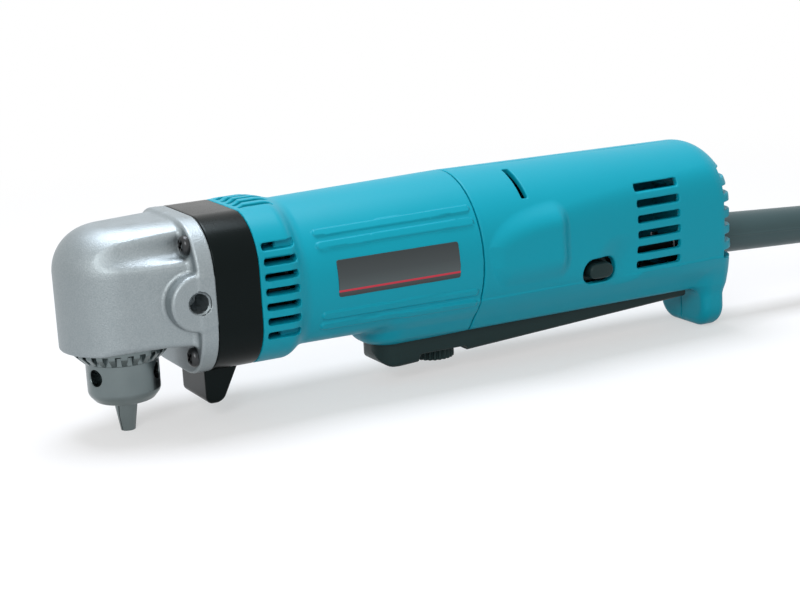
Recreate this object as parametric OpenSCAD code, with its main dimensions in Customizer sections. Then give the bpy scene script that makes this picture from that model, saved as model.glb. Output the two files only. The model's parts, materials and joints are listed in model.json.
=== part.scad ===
// Right angle drill: a cast angle head with a keyed chuck, a motor barrel and a two-shell
// handle with a paddle lever underneath. +X runs from the chuck to the tail, +Z is up,
// and the drill stands on its jaw tips and its rear foot.

/* [Overall] */
// Length from the front of the head to the tail
tool_len = 271; // [264:1:285]
// Height of the motor axis above the floor
axis_height = 46.8; // [46:0.1:50]
// Wall of the plastic shells
wall = 2.6; // [2.2:0.1:3]

/* [Angle head] */
// Radius of the head around the chuck axis
head_r = 21.5; // [21:0.1:24]
// Top of the head above the motor axis
head_top = 28.2; // [27.5:0.1:31]
// Underside of the head below the motor axis
head_bottom = 15; // [14.5:0.1:16]
// Radius of the head's upper edge
head_round = 16; // [10:0.5:17]
// Chuck axis to the rear face of the flange
head_reach = 25.7; // [25.5:0.1:28]
// Thickness of the flange
flange_t = 6.2; // [5:0.1:7]
// Width of the flange, ring and collar
flange_w = 62; // [61:0.5:66]
// Height of the flange, ring and collar
flange_h = 55.8; // [55:0.2:60]
// Corner radius of the flange, ring and collar
flange_round = 19; // [16:0.5:21]
// Radius of the side bosses
boss_r = 10; // [8:0.5:11]
// Tapping size of the side-handle holes
grip_hole_d = 6.8; // [6:0.1:7.5]
// Depth of the side-handle holes
grip_hole_depth = 10; // [8:0.5:11]
// Shank of the head screws
case_screw_d = 4; // [3.5:0.1:4.5]

/* [Ring] */
// Length of the ring between the head and the motor housing
ring_len = 16.7; // [16.5:0.1:19]
// Width of the skid under the ring
skid_w = 25; // [20:1:30]
// Reach of the skid below the ring
skid_drop = 13.2; // [10:0.2:15]

/* [Chuck] */
// Diameter of the chuck body
chuck_d = 26; // [25:0.5:27]
// Diameter of the toothed sleeve
sleeve_d = 34.5; // [33:0.5:35]
// Teeth on the sleeve
sleeve_teeth = 24; // [16:2:28]
// Diameter of a jaw
jaw_d = 6; // [5.6:0.1:6.2]
// Slope of a jaw from the chuck axis, in degrees
jaw_angle = 18; // [17:0.5:19]
// Length of jaw seen below the chuck
jaw_show = 11.5; // [10:0.5:12]
// Smallest bit that the closed jaws hold
grip_d = 1.5; // [1.2:0.1:2]
// Diameter of the key holes
key_hole_d = 6; // [5:0.5:6.5]

/* [Gears] */
// Module of the spur pair
spur_module = 0.8; // [0.78:0.01:0.82]
// Module of the bevel pair
bevel_module = 1.2; // [1.15:0.01:1.22]
// Face width of the bevel teeth
bevel_face = 5; // [4:0.5:5.5]
// Length of the reduction gear
spur_len = 7.5; // [6:0.5:8]

/* [Motor housing] */
// Length of the housing from the ring to the seam
housing_len = 89.6; // [88:0.2:94]
// Length of the vented collar
collar_len = 15.1; // [15:0.1:18]
// Radius of the barrel behind the collar
barrel_r = 28.6; // [28.3:0.1:29.4]
// Radius of the housing at the seam
seam_r = 30; // [29.6:0.1:30.8]
// Length of the cooling slots in the collar
slot_len = 13; // [10:0.5:13.5]
// Height of the cooling slots in the collar
slot_h = 2.3; // [1.8:0.1:2.8]
// Spacing of the cooling slots in the collar
slot_pitch = 5.3; // [5:0.1:5.6]
// Length of the rating plate
plate_len = 49; // [40:1:54]
// Height of the rating plate
plate_h = 13.5; // [10:0.5:16]

/* [Motor] */
// Length of the field core
field_len = 54; // [48:1:56]
// Diameter of the armature core
armature_d = 27; // [25:0.5:27.5]
// Gap between the armature and the field
air_gap = 0.5; // [0.4:0.1:0.8]
// Diameter of the armature shaft
shaft_d = 8; // [7.5:0.1:8.5]
// Diameter of the commutator
commutator_d = 19; // [17:0.5:20]
// Diameter of the fan
fan_d = 46; // [42:0.5:47]

/* [Handle] */
// Width of the handle in the middle
grip_w = 54; // [52:0.5:56]
// Width of the handle at the tail
tail_w = 50; // [48:0.5:52]
// Corner radius of the tail seen from above
tail_round = 12; // [9:0.5:14]
// Corner radius of the tail seen from the side
tail_top_round = 16; // [12:0.5:20]
// Skirt edge below the motor axis
skirt_drop = 29.7; // [29.5:0.1:31]
// Width across the skirt edges
skirt_w = 30; // [29.5:0.5:32]
// Length of the foot
foot_len = 11.5; // [11:0.5:13]
// Width of the foot
foot_w = 26; // [22:1:28]
// Length of the tail vents
vent_len = 20; // [14:1:21]
// Height of the tail vents
vent_h = 3; // [2.4:0.1:3.4]
// Spacing of the tail vents
vent_pitch = 6; // [5.4:0.1:6.2]

/* [Lever] */
// Width of the lever
lever_w = 23; // [21:0.5:23.5]
// Lever pivot to the front end of the lever
lever_reach = 134; // [130:1:135]
// Travel of the lever, in degrees
lever_travel = 2.6; // [2:0.1:2.6]
// Diameter of the lever pin
pin_d = 3.5; // [3:0.1:4]
// Diameter of the speed dial
dial_d = 16; // [14:0.5:17]
// Travel of the lock button
lock_travel = 2.5; // [2:0.1:2.8]

/* [Cord] */
// Diameter of the cord
cord_d = 8; // [7:0.1:8.4]
// Length of the cord guard outside the tail
guard_len = 88; // [70:1:95]
// Diameter of the cord guard at the tail
guard_d = 17; // [15:0.5:18]
// Diameter of the plug
plug_d = 28; // [25:0.5:28.5]

/* [Hidden] */
$fn = 64;

// Clearances
overrun = 1;
fit_gap = 0.02;
run_gap = 0.05;
slide_gap = 0.1;
seat_gap = 0.3;
move_gap = 0.6;
bury = 0.2;

// Stations along the tool
flange_x = head_reach - flange_t;
ring_x = head_reach + ring_len;
collar_x = ring_x + collar_len;
seam_x = ring_x + housing_len;
tail_x = tool_len - head_r;
place_x = (head_r - tail_x) / 2;

// Head screws
flange_z = 1.1;
case_screw_inset = 8.7;
case_screw_y = flange_w / 2 - case_screw_inset;
case_screw_drop = 7.9;
case_screw_z = flange_h / 2 - case_screw_drop;
case_head_r = 3.5;
case_head_h = 2.4;
case_screw_cover = 3.5;
case_screw_tip = collar_x - case_screw_cover;
channel_gap = 0.9;
channel_r = case_head_r + channel_gap;
socket_r = 1.9;
socket_depth = 1.5;

// Gear train
spur_pinion_teeth = 7;
spur_gear_teeth = 21;
bevel_pinion_teeth = 9;
bevel_gear_teeth = 27;
addendum_share = 0.7;
dedendum_share = 0.95;
thick_share = 0.8;
tip_share = 0.5;
root_share = 1.3;
bevel_addendum_share = 0.55;
bevel_dedendum_share = 0.9;
bevel_thick_share = 0.62;
bevel_flank_share = 0.42;
spur_pinion_r = spur_module * spur_pinion_teeth / 2;
spur_gear_r = spur_module * spur_gear_teeth / 2;
shaft_rise = spur_pinion_r + spur_gear_r;
bevel_pinion_r = bevel_module * bevel_pinion_teeth / 2;
bevel_gear_r = bevel_module * bevel_gear_teeth / 2;
bevel_cone = norm([bevel_pinion_r, bevel_gear_r]);
bevel_inner_share = 1 - bevel_face / bevel_cone;
bevel_back = 5;
bevel_back_z = shaft_rise - bevel_pinion_r - bevel_back;
gear_shaft_r = 4;
gear_journal_r = 3;
gear_lead = 2.6;
gear_x = head_reach + gear_lead;
gear_x1 = gear_x + spur_len;
gear_end_gap = 1.2;
bulkhead_x = gear_x1 + gear_end_gap;
pinion_overhang = 0.6;
bevel_hub_step = 2;
pinion_hub_step = 0.2;

// Bearings
upper_bearing_r = 8;
upper_bearing_h = 6;
head_roof = 3.8;
roof_gap = 0.4;
upper_bearing_z = head_top - head_roof;
upper_journal_r = 4;
lower_bearing_r = 14;
lower_bearing_h = 8;
bevel_floor_gap = 0.9;
lower_bearing_z = bevel_back_z - bevel_floor_gap;
spindle_r = 6;
spindle_end_gap = 0.5;
box_lip = 0.8;
lip_r = 12.5;
box_z = lower_bearing_z - lower_bearing_h - box_lip;
pinion_bearing_r = 8.5;
pinion_bearing_len = 6;
pinion_bearing_inset = 1.2;
pinion_bearing_x = head_reach - pinion_bearing_inset;
bush_r = 5;
bush_len = 2.4;
motor_bearing_r = 8;
motor_bearing_len = 6;
journal_gap = 0.2;
seat_web = 1;
seat_x = bulkhead_x + bush_len + seat_web;
rear_bearing_r = 9.5;
rear_bearing_len = 7;
shaft_r = shaft_d / 2;

// Chuck
gear_room = 1.8;
sleeve_room = 0.75;
case_bore_r = max(bevel_gear_r + gear_room, sleeve_d / 2 + sleeve_room);
chuck_top_gap = 0.5;
chuck_top_z = lower_bearing_z - lower_bearing_h - chuck_top_gap;
sleeve_top_gap = 0.9;
sleeve_top_z = box_z - sleeve_top_gap;
sleeve_bevel = 3.5;
sleeve_land = 4.5;
sleeve_h = 11.8;
sleeve_z = sleeve_top_z - sleeve_h;
sleeve_edge = 0.6;
sleeve_gap = 0.9;
notch_share = 0.9;
chuck_neck_step = 1.5;
chuck_neck_r = chuck_d / 2 - chuck_neck_step;
chuck_web = 1.2;
chuck_nose_z = -axis_height + jaw_show;
chuck_chamfer = 3;
chuck_nose_step = 2.6;
chuck_nose_r = chuck_d / 2 - chuck_nose_step;
nose_r = 4.2;
nose_len = 6.5;
bit_bore_r = 5.1;
jaw_r = jaw_d / 2;
jaw_tip_r = -0.5;
jaw_len = 21;
jaw_point_r = 2.6;
jaw_waist_r = 4.4;
jaw_gap = 0.3;
jaw_turn = 22;
key_turn = jaw_turn + 180;
key_hole_drop = 3.4;
key_hole_z = sleeve_z - key_hole_drop;
key_hole_depth = 6;

// Ring and motor housing
ring_bore_r = 22.5;
skid_root = 3;
skid_shares = [[0.03, 0], [0.03, 0.85], [0.12, 0.96], [0.32, 1], [0.46, 0.94], [0.83, 0]];
bearing_boss_wall = 2.5;
bearing_boss_r = motor_bearing_r + bearing_boss_wall;
fan_room = 2;
chamber_r = fan_d / 2 + fan_room;
bore_step = 0.5;
bore_x = collar_x + bore_step;
bore_r = min(barrel_r, seam_r) - wall;
bore_flat_step = 5.5;
bore_flat = bore_r - bore_flat_step;
floor_t = 2.4;
step_len = 4.5;
step_h = 1.2;
slot_lead = 2;
slot_x = ring_x + slot_lead;
slot_mid_z = 1.7;
side_slots = 7;
top_slots = 5;
slot_overlap = 5;
slot_reach_y = chamber_r - slot_overlap;
blind_depth = 4;
rib_angles = [39, 29, -23, -32.5];
rib_w = 3;
rib_h = 0.6;
rib_lead = 8.5;
rib_x = collar_x + rib_lead;
plate_inset = 10;
plate_x = seam_x - plate_inset;
plate_t = 0.8;
plate_proud = 0.25;
plate_mid_z = 1.8;
chin_w = skirt_w;
chin_len = 42;
chin_x = seam_x - chin_len;
chin_depth = 1.3;
chin_drop = skirt_drop + chin_depth;
chin_rise = 20;
chin_slope = 5;
barrel_flat_step = 4;
barrel_flat = bore_flat + barrel_flat_step;
ceiling_z = -bore_flat - floor_t;

// Motor
field_inset = 8;
field_x = seam_x - field_inset - field_len;
field_gap = 0.15;
field_r = bore_r - field_gap;
field_flat_gap = 0.2;
field_flat = bore_flat - field_flat_gap;
field_bore_r = armature_d / 2 + air_gap;
coil_room = 0.6;
coil_r = bore_flat - coil_room;
coil_lining = 0.8;
coil_in_r = field_bore_r + coil_lining;
coil_h = 6;
coil_half = 8;
coil_split = 0.6;
coil_gap = 0.15;
core_inset = 2;
core_len = field_len - 2 * core_inset;
core_x = field_x + core_inset;
core_slots = 12;
core_slot_w = 2.4;
core_slot_depth = 6;
winding_step = 1.2;
winding_r = armature_d / 2 - winding_step;
winding_len = 8;
commutator_lead = 16;
commutator_x = seam_x + commutator_lead;
commutator_len = 14;
commutator_bars = 20;
bar_gap = 0.5;
bar_depth = 1.2;
fan_lead = 2.2;
fan_x = seat_x + motor_bearing_len + fan_lead;
fan_tail = 1.2;
fan_len = bore_x - fan_x - fan_tail;
fan_hub_r = 7;
fan_disc_t = 1.4;
fan_blades = 18;
blade_t = 1.2;
blade_in_r = 12;
blade_inset = 0.5;
baffle_t = 2;
baffle_in_r = 16;
bracket_lead = 2.5;
bracket_x = commutator_x + commutator_len + bracket_lead;
bracket_len = 10.5;
bracket_wall = 2;
bracket_gap = 0.4;
bracket_r = seam_r - wall - bracket_gap;
bracket_swell = 0.1;
shaft_room = 1.4;
bracket_flat = 20;
holder_lead = 1;
holder_x = commutator_x + holder_lead;
holder_z = 7;
holder_gap = 2.5;
holder_in_y = commutator_d / 2 + holder_gap;
holder_end_gap = 2.9;
holder_len = seam_r - wall - holder_in_y - holder_end_gap;
holder_wall = 2.5;
brush_x = holder_x + holder_wall;
brush_w = 8;
brush_h = 6.4;
brush_gap = 0.3;
brush_setback = 1.7;
brush_len = holder_in_y + holder_len - brush_setback - commutator_d / 2 - brush_gap;
shaft_end_x = bracket_x + bracket_len;

// Handle
crease_z = -16.5;
side_top_gap = 0.5;
side_top = seam_r + side_top_gap;
side_fall = 2;
side_tail = side_top - side_fall;
grip_lead = 58;
grip_x = seam_x + grip_lead;
foot_x = tail_x - foot_len;
foot_round = 6;
foot_heel = 2;
blister_h = 1.2;
blister_lead = 2.5;
blister_x = seam_x + blister_lead;
blister_len = 36.5;
blister_half = 12.5;
blister_z = 2.3;
blister_shares = [[0, 0], [0.22, 0.62], [0.45, 0.94], [0.62, 1], [0.86, 1], [0.97, 0.75], [1, 0.4],
    [1, -0.4], [0.97, -0.75], [0.86, -1], [0.62, -1], [0.45, -0.94], [0.22, -0.62]];
vents = 6;
vent_inset = 27.5;
vent_x = tail_x - vent_inset - vent_len;
vent_mid_z = 1.8;
gills = 6;
gill_top_z = 17;
gill_pitch = 6.4;
gill_h = 3;
gill_depth = 5;
slit_lead = 21;
slit_x = seam_x + slit_lead;
slit_depth = 4.2;
slit_w = 2.6;
slit_len = 17;
slit_angle = 57;
screw_boss_r = 4.4;
screw_r = 1.6;
screw_head_r = 3;
screw_head_h = 2.4;
screw_seat_y = 8.5;
screw_tip_y = 10;
screw_head_gap = 0.2;
front_screw_lead = 7.5;
front_screw_z = 21.5;
middle_screw_lead = 62;
middle_screw_z = 23.5;
tail_screw_inset = 13.5;
tail_screw_z = 14.5;
foot_screw_rise = 11;
screw_spots = [[seam_x + front_screw_lead, front_screw_z], [seam_x + middle_screw_lead, middle_screw_z],
    [tail_x - tail_screw_inset, tail_screw_z], [tail_x - foot_len / 2, -axis_height + foot_screw_rise]];

// Switch group
switch_lead = 48;
switch_x = seam_x + switch_lead;
switch_len = 32;
switch_w = 20;
switch_top = -3;
switch_bottom = -20;
switch_x1 = switch_x + switch_len;
rib_t = 4;
plunger_r = 3;
plunger_lead = 20;
plunger_x = switch_x + plunger_lead;
plunger_gap = 0.4;
plunger_stop = 3;
plunger_bore = 7;
capacitor_lead = 6;
capacitor_len = 20;
capacitor_w = 12;
capacitor_h = 12;
button_lead = 4.5;
button_x = switch_x + button_lead;
button_z = -12.4;
button_len = 12;
button_h = 7;
button_gap = 0.3;
recess_r = 8.5;
recess_depth = 1.8;
recess_y = min(grip_w / 2, seam_r) - recess_depth;
pad_t = 4.6;
pad_in_y = recess_y - pad_t;
button_proud = 1.2;
button_stop_gap = 0.2;
button_flange = 1.5;
button_flange_t = 1.5;
stem_r = 1.8;
stem_gap = 1.4;
stem_len = pad_in_y - button_stop_gap - button_flange_t - switch_w / 2 - lock_travel - stem_gap;

// Lever
pivot_inset = 20;
pivot_x = tail_x - pivot_inset;
pivot_z = -25.5;
pin_boss_r = 4;
hub_r = 4;
slot_w = lever_w + 2 * move_gap;
slot_end_x = foot_x;
lever_wall = 2.2;
lever_nose = 4;
lever_lip = 2;
lever_rise = 6.6;
lever_front_z = -axis_height + lever_rise;
lever_rear_z = -33.2;
lever_headroom = 0.5;
dial_inset = 8;
dial_x = seam_x - dial_inset;
dial_h = 4.5;
dial_proud = 2;
dial_screw_r = 2.5;
dial_grip = 24;
dial_groove_r = 0.6;
dial_stem = 2.5;
lever_spring_lead = 7;
lever_spring_x = switch_x + lever_spring_lead;
spring_gap = 0.5;
lever_spring_r = 3.4;
spring_wire_r = 0.5;
spring_curls = 6;
curl_rings = 8;
lock_spring_r = 2.8;

// Cord entry
entry_z = -12;
guard_hole_r = 6.5;
guard_flange_r = 9;
guard_flange_t = 4.5;
guard_root = 3;
guard_step = 0.3;
guard_taper = 1.2;
guard_end_r = guard_d / 2 - guard_taper;
guard_end_height = 30;
guard_tilt = asin((axis_height + entry_z - guard_end_height) / guard_len);
guard_x1 = tail_x + guard_root - overrun + guard_len * cos(guard_tilt);
lead_r = 3.5;
lead_x1 = tail_x - wall - guard_flange_t;
clamp_inset = 21;
clamp_x = tail_x - clamp_inset;
clamp_len = 6;
clamp_w = 18;
clamp_t = 3;
clamp_screw_r = 1.5;
clamp_screw_y = 7;
clamp_top_z = -8;
clamp_boss_y = 4.6;

// Cord from the guard to the tied hank on the floor
cord_sides = 10;
cord_rings = 12;
cord_start = [place_x + guard_x1, 0, guard_end_height];
cord_lead = 94;
cord_lead_in = 6.5;
hank_z = 6;

// Hank: three layers of one turn each, wound in, out and in again, with half a turn of climb between them
loop_rings = 40;
loop_sides = 6;
hank_r = 33;
hank_len = 165;
hank_straight = 0.3;
hank_dip = 1.6;
hank_space = 0.7;
hank_pitch = cord_d + hank_space;
layer_turns = 1;
climb_turns = 0.5;
hank_turns = 3 * layer_turns + 2 * climb_turns;
hank_centre = [cord_start[0] + cord_lead + hank_len / 2, 0, hank_z];
cord_route = concat([for (i = [0:cord_rings]) lead_point(i / cord_rings)], [hank_point(0) - [cord_d, 0, 0]]);
hank_wound = [for (i = [0:hank_turns * loop_rings]) hank_point(i / loop_rings)];
hank_last = hank_wound[len(hank_wound) - 1] + [cord_d, 0, 0];
hank_path = concat([hank_point(0) - [cord_d, 0, 0]], hank_wound, [hank_last]);
tie_phase = 0.15;
tie_w = 9;
tie_t = 1.4;
tie_gap = 0.3;

// Cord end, which comes down inside the hank to the plug lying there
end_rings = 14;
end_len = 80;
end_fall_share = 0.75;
plug_start = end_point(1) + [cord_d / 2, 0, 0];
end_route = concat([hank_last], [for (i = [0:end_rings]) end_point(i / end_rings)], [plug_start]);
plug_taper = 14;
plug_len = 26;
plug_neck_wall = 1.5;
plug_neck_r = cord_d / 2 + plug_neck_wall;
blade_len = 17;
blade_w = 6.3;
blade_thick = 1.5;
blade_space = 12.7;

// Shapes shared by several pieces
module along_x(x0, x1) {
    translate([x0, 0, 0]) rotate([90, 0, 90]) linear_extrude(x1 - x0) children();
}
module along_y(y0, y1) {
    translate([0, y1, 0]) rotate([90, 0, 0]) linear_extrude(y1 - y0) children();
}
module rod_x(r, x0, x1, y = 0, z = 0) {
    translate([x0, y, z]) rotate([0, 90, 0]) cylinder(r = r, h = x1 - x0);
}
module rod_y(r, y0, y1, x = 0, z = 0) {
    translate([x, y0, z]) rotate([-90, 0, 0]) cylinder(r = r, h = y1 - y0);
}
module rod_z(r, z0, z1, x = 0, y = 0) {
    translate([x, y, z0]) cylinder(r = r, h = z1 - z0);
}
module cone_x(r0, r1, x0, x1) {
    translate([x0, 0, 0]) rotate([0, 90, 0]) cylinder(r1 = r0, r2 = r1, h = x1 - x0);
}
module box(x0, x1, y0, y1, z0, z1) {
    translate([x0, y0, z0]) cube([x1 - x0, y1 - y0, z1 - z0]);
}
module round_rect(w, h, r) {
    square([w - 2 * r, h], center = true);
    square([w, h - 2 * r], center = true);
    for (i = [-1, 1], j = [-1, 1]) {
        translate([i * (w / 2 - r), j * (h / 2 - r)]) circle(r);
    }
}
module pill(len, h) {
    square([len - h, h], center = true);
    for (i = [-1, 1]) {
        translate([i * (len - h) / 2, 0]) circle(h / 2);
    }
}
module flat_round(r, flat) {
    intersection() {
        circle(r);
        square([2 * r, 2 * flat], center = true);
    }
}
module ring_x(r0, r1, x0, x1, z = 0) {
    difference() {
        rod_x(r1, x0, x1, 0, z);
        rod_x(r0, x0 - overrun, x1 + overrun, 0, z);
    }
}
module ring_z(r0, r1, z0, z1) {
    difference() {
        rod_z(r1, z0, z1);
        rod_z(r0, z0 - overrun, z1 + overrun);
    }
}
module at_case_screws() {
    for (i = [-1, 1], j = [-1, 1]) {
        translate([0, i * case_screw_y, flange_z + j * case_screw_z]) children();
    }
}
module stand() {
    translate([place_x, 0, axis_height]) children();
}

// A tube of flat-sided rings swept along a list of points
function flat_list(rows) = [for (row = rows) each row];
function unit(v) = v / norm(v);
function tangent(p, i) = unit(p[min(i + 1, len(p) - 1)] - p[max(i - 1, 0)]);
function ring_at(p, t, r, sides, up) =
    let (side = unit(cross(t, up)), top = cross(side, t))
    [for (k = [0:sides - 1]) let (a = 360 * (k + 0.5) / sides) p + r * (cos(a) * side + sin(a) * top)];
module tube(path, r, sides, up = [0, 0, 1]) {
    count = len(path);
    rings = [for (i = [0:count - 1]) ring_at(path[i], tangent(path, i), r, sides, up)];
    walls = [for (i = [0:count - 2], k = [0:sides - 1])
        let (a = i * sides + k, b = i * sides + (k + 1) % sides)
        each [[a, b, a + sides], [b, b + sides, a + sides]]];
    first = [for (k = [1:sides - 2]) [0, k + 1, k]];
    base = (count - 1) * sides;
    last = [for (k = [1:sides - 2]) [base, base + k, base + k + 1]];
    polyhedron(flat_list(rings), [for (f = concat(first, walls, last)) [f[0], f[2], f[1]]]);
}
function helix(r, height, curls) = [for (i = [0:curl_rings * curls]) let (a = 360 * i / curl_rings)
    [r * cos(a), r * sin(a), height * i / (curl_rings * curls)]];

// Tooth outlines
function polar(r, a) = [r * cos(a), r * sin(a)];
function gear_outline(teeth, unit_size) =
    let (r = teeth * unit_size / 2, half = thick_share * 90 / teeth)
    flat_list([for (i = [0:teeth - 1]) let (a = 360 * i / teeth)
        [polar(r - dedendum_share * unit_size, a - half * root_share),
         polar(r, a - half),
         polar(r + addendum_share * unit_size, a - half * tip_share),
         polar(r + addendum_share * unit_size, a + half * tip_share),
         polar(r, a + half),
         polar(r - dedendum_share * unit_size, a + half * root_share)]]);
function bevel_point(r, depth, lift, side, size) =
    let (cone = norm([r, depth]))
    size * [r + lift * depth / cone, side, depth - lift * r / cone];
module bevel_teeth(teeth, r, depth) {
    half = bevel_thick_share * PI * bevel_module / 4;
    lift = bevel_addendum_share * bevel_module;
    sink = bevel_dedendum_share * bevel_module + bury;
    tip = half - lift * bevel_flank_share;
    root = half + sink * bevel_flank_share;
    corners = [for (size = [1, bevel_inner_share]) each [bevel_point(r, depth, -sink, -root, size),
        bevel_point(r, depth, -sink, root, size), bevel_point(r, depth, lift, tip, size),
        bevel_point(r, depth, lift, -tip, size)]];
    for (i = [0:teeth - 1]) {
        rotate([0, 0, 360 * i / teeth]) polyhedron(corners, [[0, 1, 2, 3], [7, 6, 5, 4], [0, 4, 5, 1],
            [1, 5, 6, 2], [2, 6, 7, 3], [3, 7, 4, 0]]);
    }
}
module bevel_blank(r, depth, back, bore, hub) {
    sink = -bevel_dedendum_share * bevel_module;
    outer = bevel_point(r, depth, sink, 0, 1);
    inner = bevel_point(r, depth, sink, 0, bevel_inner_share);
    rotate_extrude() polygon([[bore, depth + back], [hub, depth + back], [outer[0], outer[2]],
        [inner[0], inner[2]], [bore, inner[2]]]);
}

// Angle head
module flange_outline() {
    translate([0, flange_z]) round_rect(flange_w, flange_h, flange_round);
}
module head_profile() {
    translate([0, -head_bottom]) square([head_r, head_bottom + head_top - head_round]);
    translate([0, -head_bottom]) square([head_r - head_round, head_bottom + head_top]);
    translate([head_r - head_round, head_top - head_round]) intersection() {
        circle(head_round);
        square(head_round);
    }
}
module side_boss() {
    along_y(-flange_w / 2, flange_w / 2) intersection() {
        translate([flange_x, slot_mid_z]) circle(boss_r);
        translate([0, -flange_h / 2]) square([flange_x, flange_h]);
    }
}
module gear_case() {
    color("silver") difference() {
        union() {
            rotate_extrude(angle = 180, start = 90) head_profile();
            along_x(0, flange_x) union() {
                head_profile();
                mirror([1, 0]) head_profile();
            }
            along_x(flange_x, head_reach) flange_outline();
            side_boss();
        }
        rod_z(case_bore_r, -head_bottom - overrun, shaft_rise + overrun);
        rod_z(upper_bearing_r + overrun, shaft_rise, upper_bearing_z - upper_bearing_h - roof_gap);
        rod_z(upper_bearing_r + fit_gap, shaft_rise, upper_bearing_z);
        rod_x(pinion_bearing_r + fit_gap, bevel_gear_r / 2, head_reach + overrun, 0, shaft_rise);
        at_case_screws() rod_x(channel_r, -head_r, flange_x);
        at_case_screws() rod_x(case_screw_d / 2 + fit_gap, flange_x - overrun, head_reach + overrun);
        for (i = [0, 1]) {
            mirror([0, i, 0]) rod_y(grip_hole_d / 2, flange_w / 2 - grip_hole_depth, flange_w / 2 + overrun,
                flange_x, slot_mid_z);
        }
    }
}
module case_screws() {
    color("dimgray") at_case_screws() difference() {
        union() {
            rod_x(case_head_r, flange_x - case_head_h, flange_x);
            rod_x(case_screw_d / 2, flange_x, case_screw_tip);
        }
        translate([flange_x - case_head_h - overrun, 0, 0]) rotate([0, 90, 0])
            cylinder(r = socket_r, h = socket_depth + overrun, $fn = 6);
    }
}

// Ring with its skid and the bulkhead that carries the front bearings
module spacer_ring() {
    color("#1c1c1e") difference() {
        union() {
            along_x(head_reach, ring_x) flange_outline();
            rod_x(bearing_boss_r, bulkhead_x, seat_x + motor_bearing_len);
            along_y(-skid_w / 2, skid_w / 2) polygon([for (s = skid_shares)
                [head_reach + s[0] * ring_len, flange_z + skid_root - flange_h / 2 - s[1] * (skid_drop + skid_root)]]);
        }
        rod_x(ring_bore_r, head_reach - overrun, bulkhead_x);
        rod_x(shaft_r + overrun, bulkhead_x - overrun, seat_x + overrun);
        rod_x(bush_r + fit_gap, bulkhead_x - overrun, bulkhead_x + bush_len, 0, shaft_rise);
        rod_x(motor_bearing_r + fit_gap, seat_x, ring_x + motor_bearing_len + overrun);
        at_case_screws() rod_x(case_screw_d / 2 + fit_gap, head_reach - overrun, ring_x + overrun);
    }
}

// Motor housing
module barrel_cone(grow) {
    cone_x(barrel_r + grow, seam_r + grow, collar_x, seam_x);
}
module barrel_ribs() {
    intersection() {
        barrel_cone(rib_h);
        for (a = rib_angles, i = [0, 1]) {
            mirror([0, i, 0]) rotate([-a, 0, 0])
                box(rib_x, seam_x - overrun, -seam_r - rib_h - overrun, -bore_r - overrun,
                    -rib_w / 2, rib_w / 2);
        }
    }
}
module plate_shape() {
    intersection() {
        difference() {
            barrel_cone(plate_proud);
            barrel_cone(-plate_t);
        }
        box(plate_x - plate_len, plate_x, -seam_r - overrun, 0,
            plate_mid_z - plate_h / 2, plate_mid_z + plate_h / 2);
    }
}
module chin() {
    along_y(-chin_w / 2, chin_w / 2) polygon([[chin_x, -bore_flat], [seam_x, -bore_flat],
        [seam_x, -skirt_drop], [seam_x - chin_rise, -chin_drop], [chin_x + chin_slope, -chin_drop],
        [chin_x, -barrel_r + floor_t]]);
}
module collar_slots() {
    for (side = [-1, 1], i = [0:side_slots - 1]) {
        z = slot_mid_z + (i - (side_slots - 1) / 2) * slot_pitch;
        end_slot = i == 0 || i == side_slots - 1;
        inner = end_slot ? flange_w / 2 - blind_depth : slot_reach_y;
        mirror([0, side < 0 ? 1 : 0, 0])
            box(slot_x, slot_x + slot_len, inner, flange_w / 2 + overrun, z - slot_h / 2, z + slot_h / 2);
    }
    for (i = [0:top_slots - 1]) {
        y = (i - (top_slots - 1) / 2) * slot_pitch;
        box(slot_x, slot_x + slot_len, y - slot_h / 2, y + slot_h / 2, slot_reach_y,
            flange_z + flange_h / 2 + overrun);
    }
}
module lever_room() {
    front = pivot_x - lever_reach - move_gap;
    along_y(-slot_w / 2, slot_w / 2) polygon([[front, ceiling_z], [seam_x + overrun, ceiling_z],
        [seam_x + overrun, -axis_height], [front + move_gap, -axis_height], [front, -skirt_drop]]);
}
module motor_housing() {
    color("#1fa0b8") difference() {
        union() {
            along_x(ring_x, collar_x) flange_outline();
            difference() {
                union() {
                    cone_x(barrel_r + step_h, barrel_r, collar_x, collar_x + step_len);
                    barrel_cone(0);
                    barrel_ribs();
                }
                box(collar_x - overrun, seam_x + overrun, -2 * seam_r, 2 * seam_r, -2 * seam_r, -barrel_flat);
            }
            chin();
        }
        rod_x(chamber_r, ring_x - overrun, bore_x);
        along_x(bore_x, seam_x + overrun) flat_round(bore_r, bore_flat);
        at_case_screws() rod_x(case_screw_d / 2 + fit_gap, ring_x - overrun, case_screw_tip + fit_gap);
        collar_slots();
        plate_shape();
        lever_room();
    }
}
module rating_plate() {
    color("dimgray") plate_shape();
}
module fan_baffle() {
    color("#2a2a2c") difference() {
        along_x(bore_x, bore_x + baffle_t) flat_round(field_r, field_flat);
        rod_x(baffle_in_r, bore_x - overrun, bore_x + baffle_t + overrun);
    }
}

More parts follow.
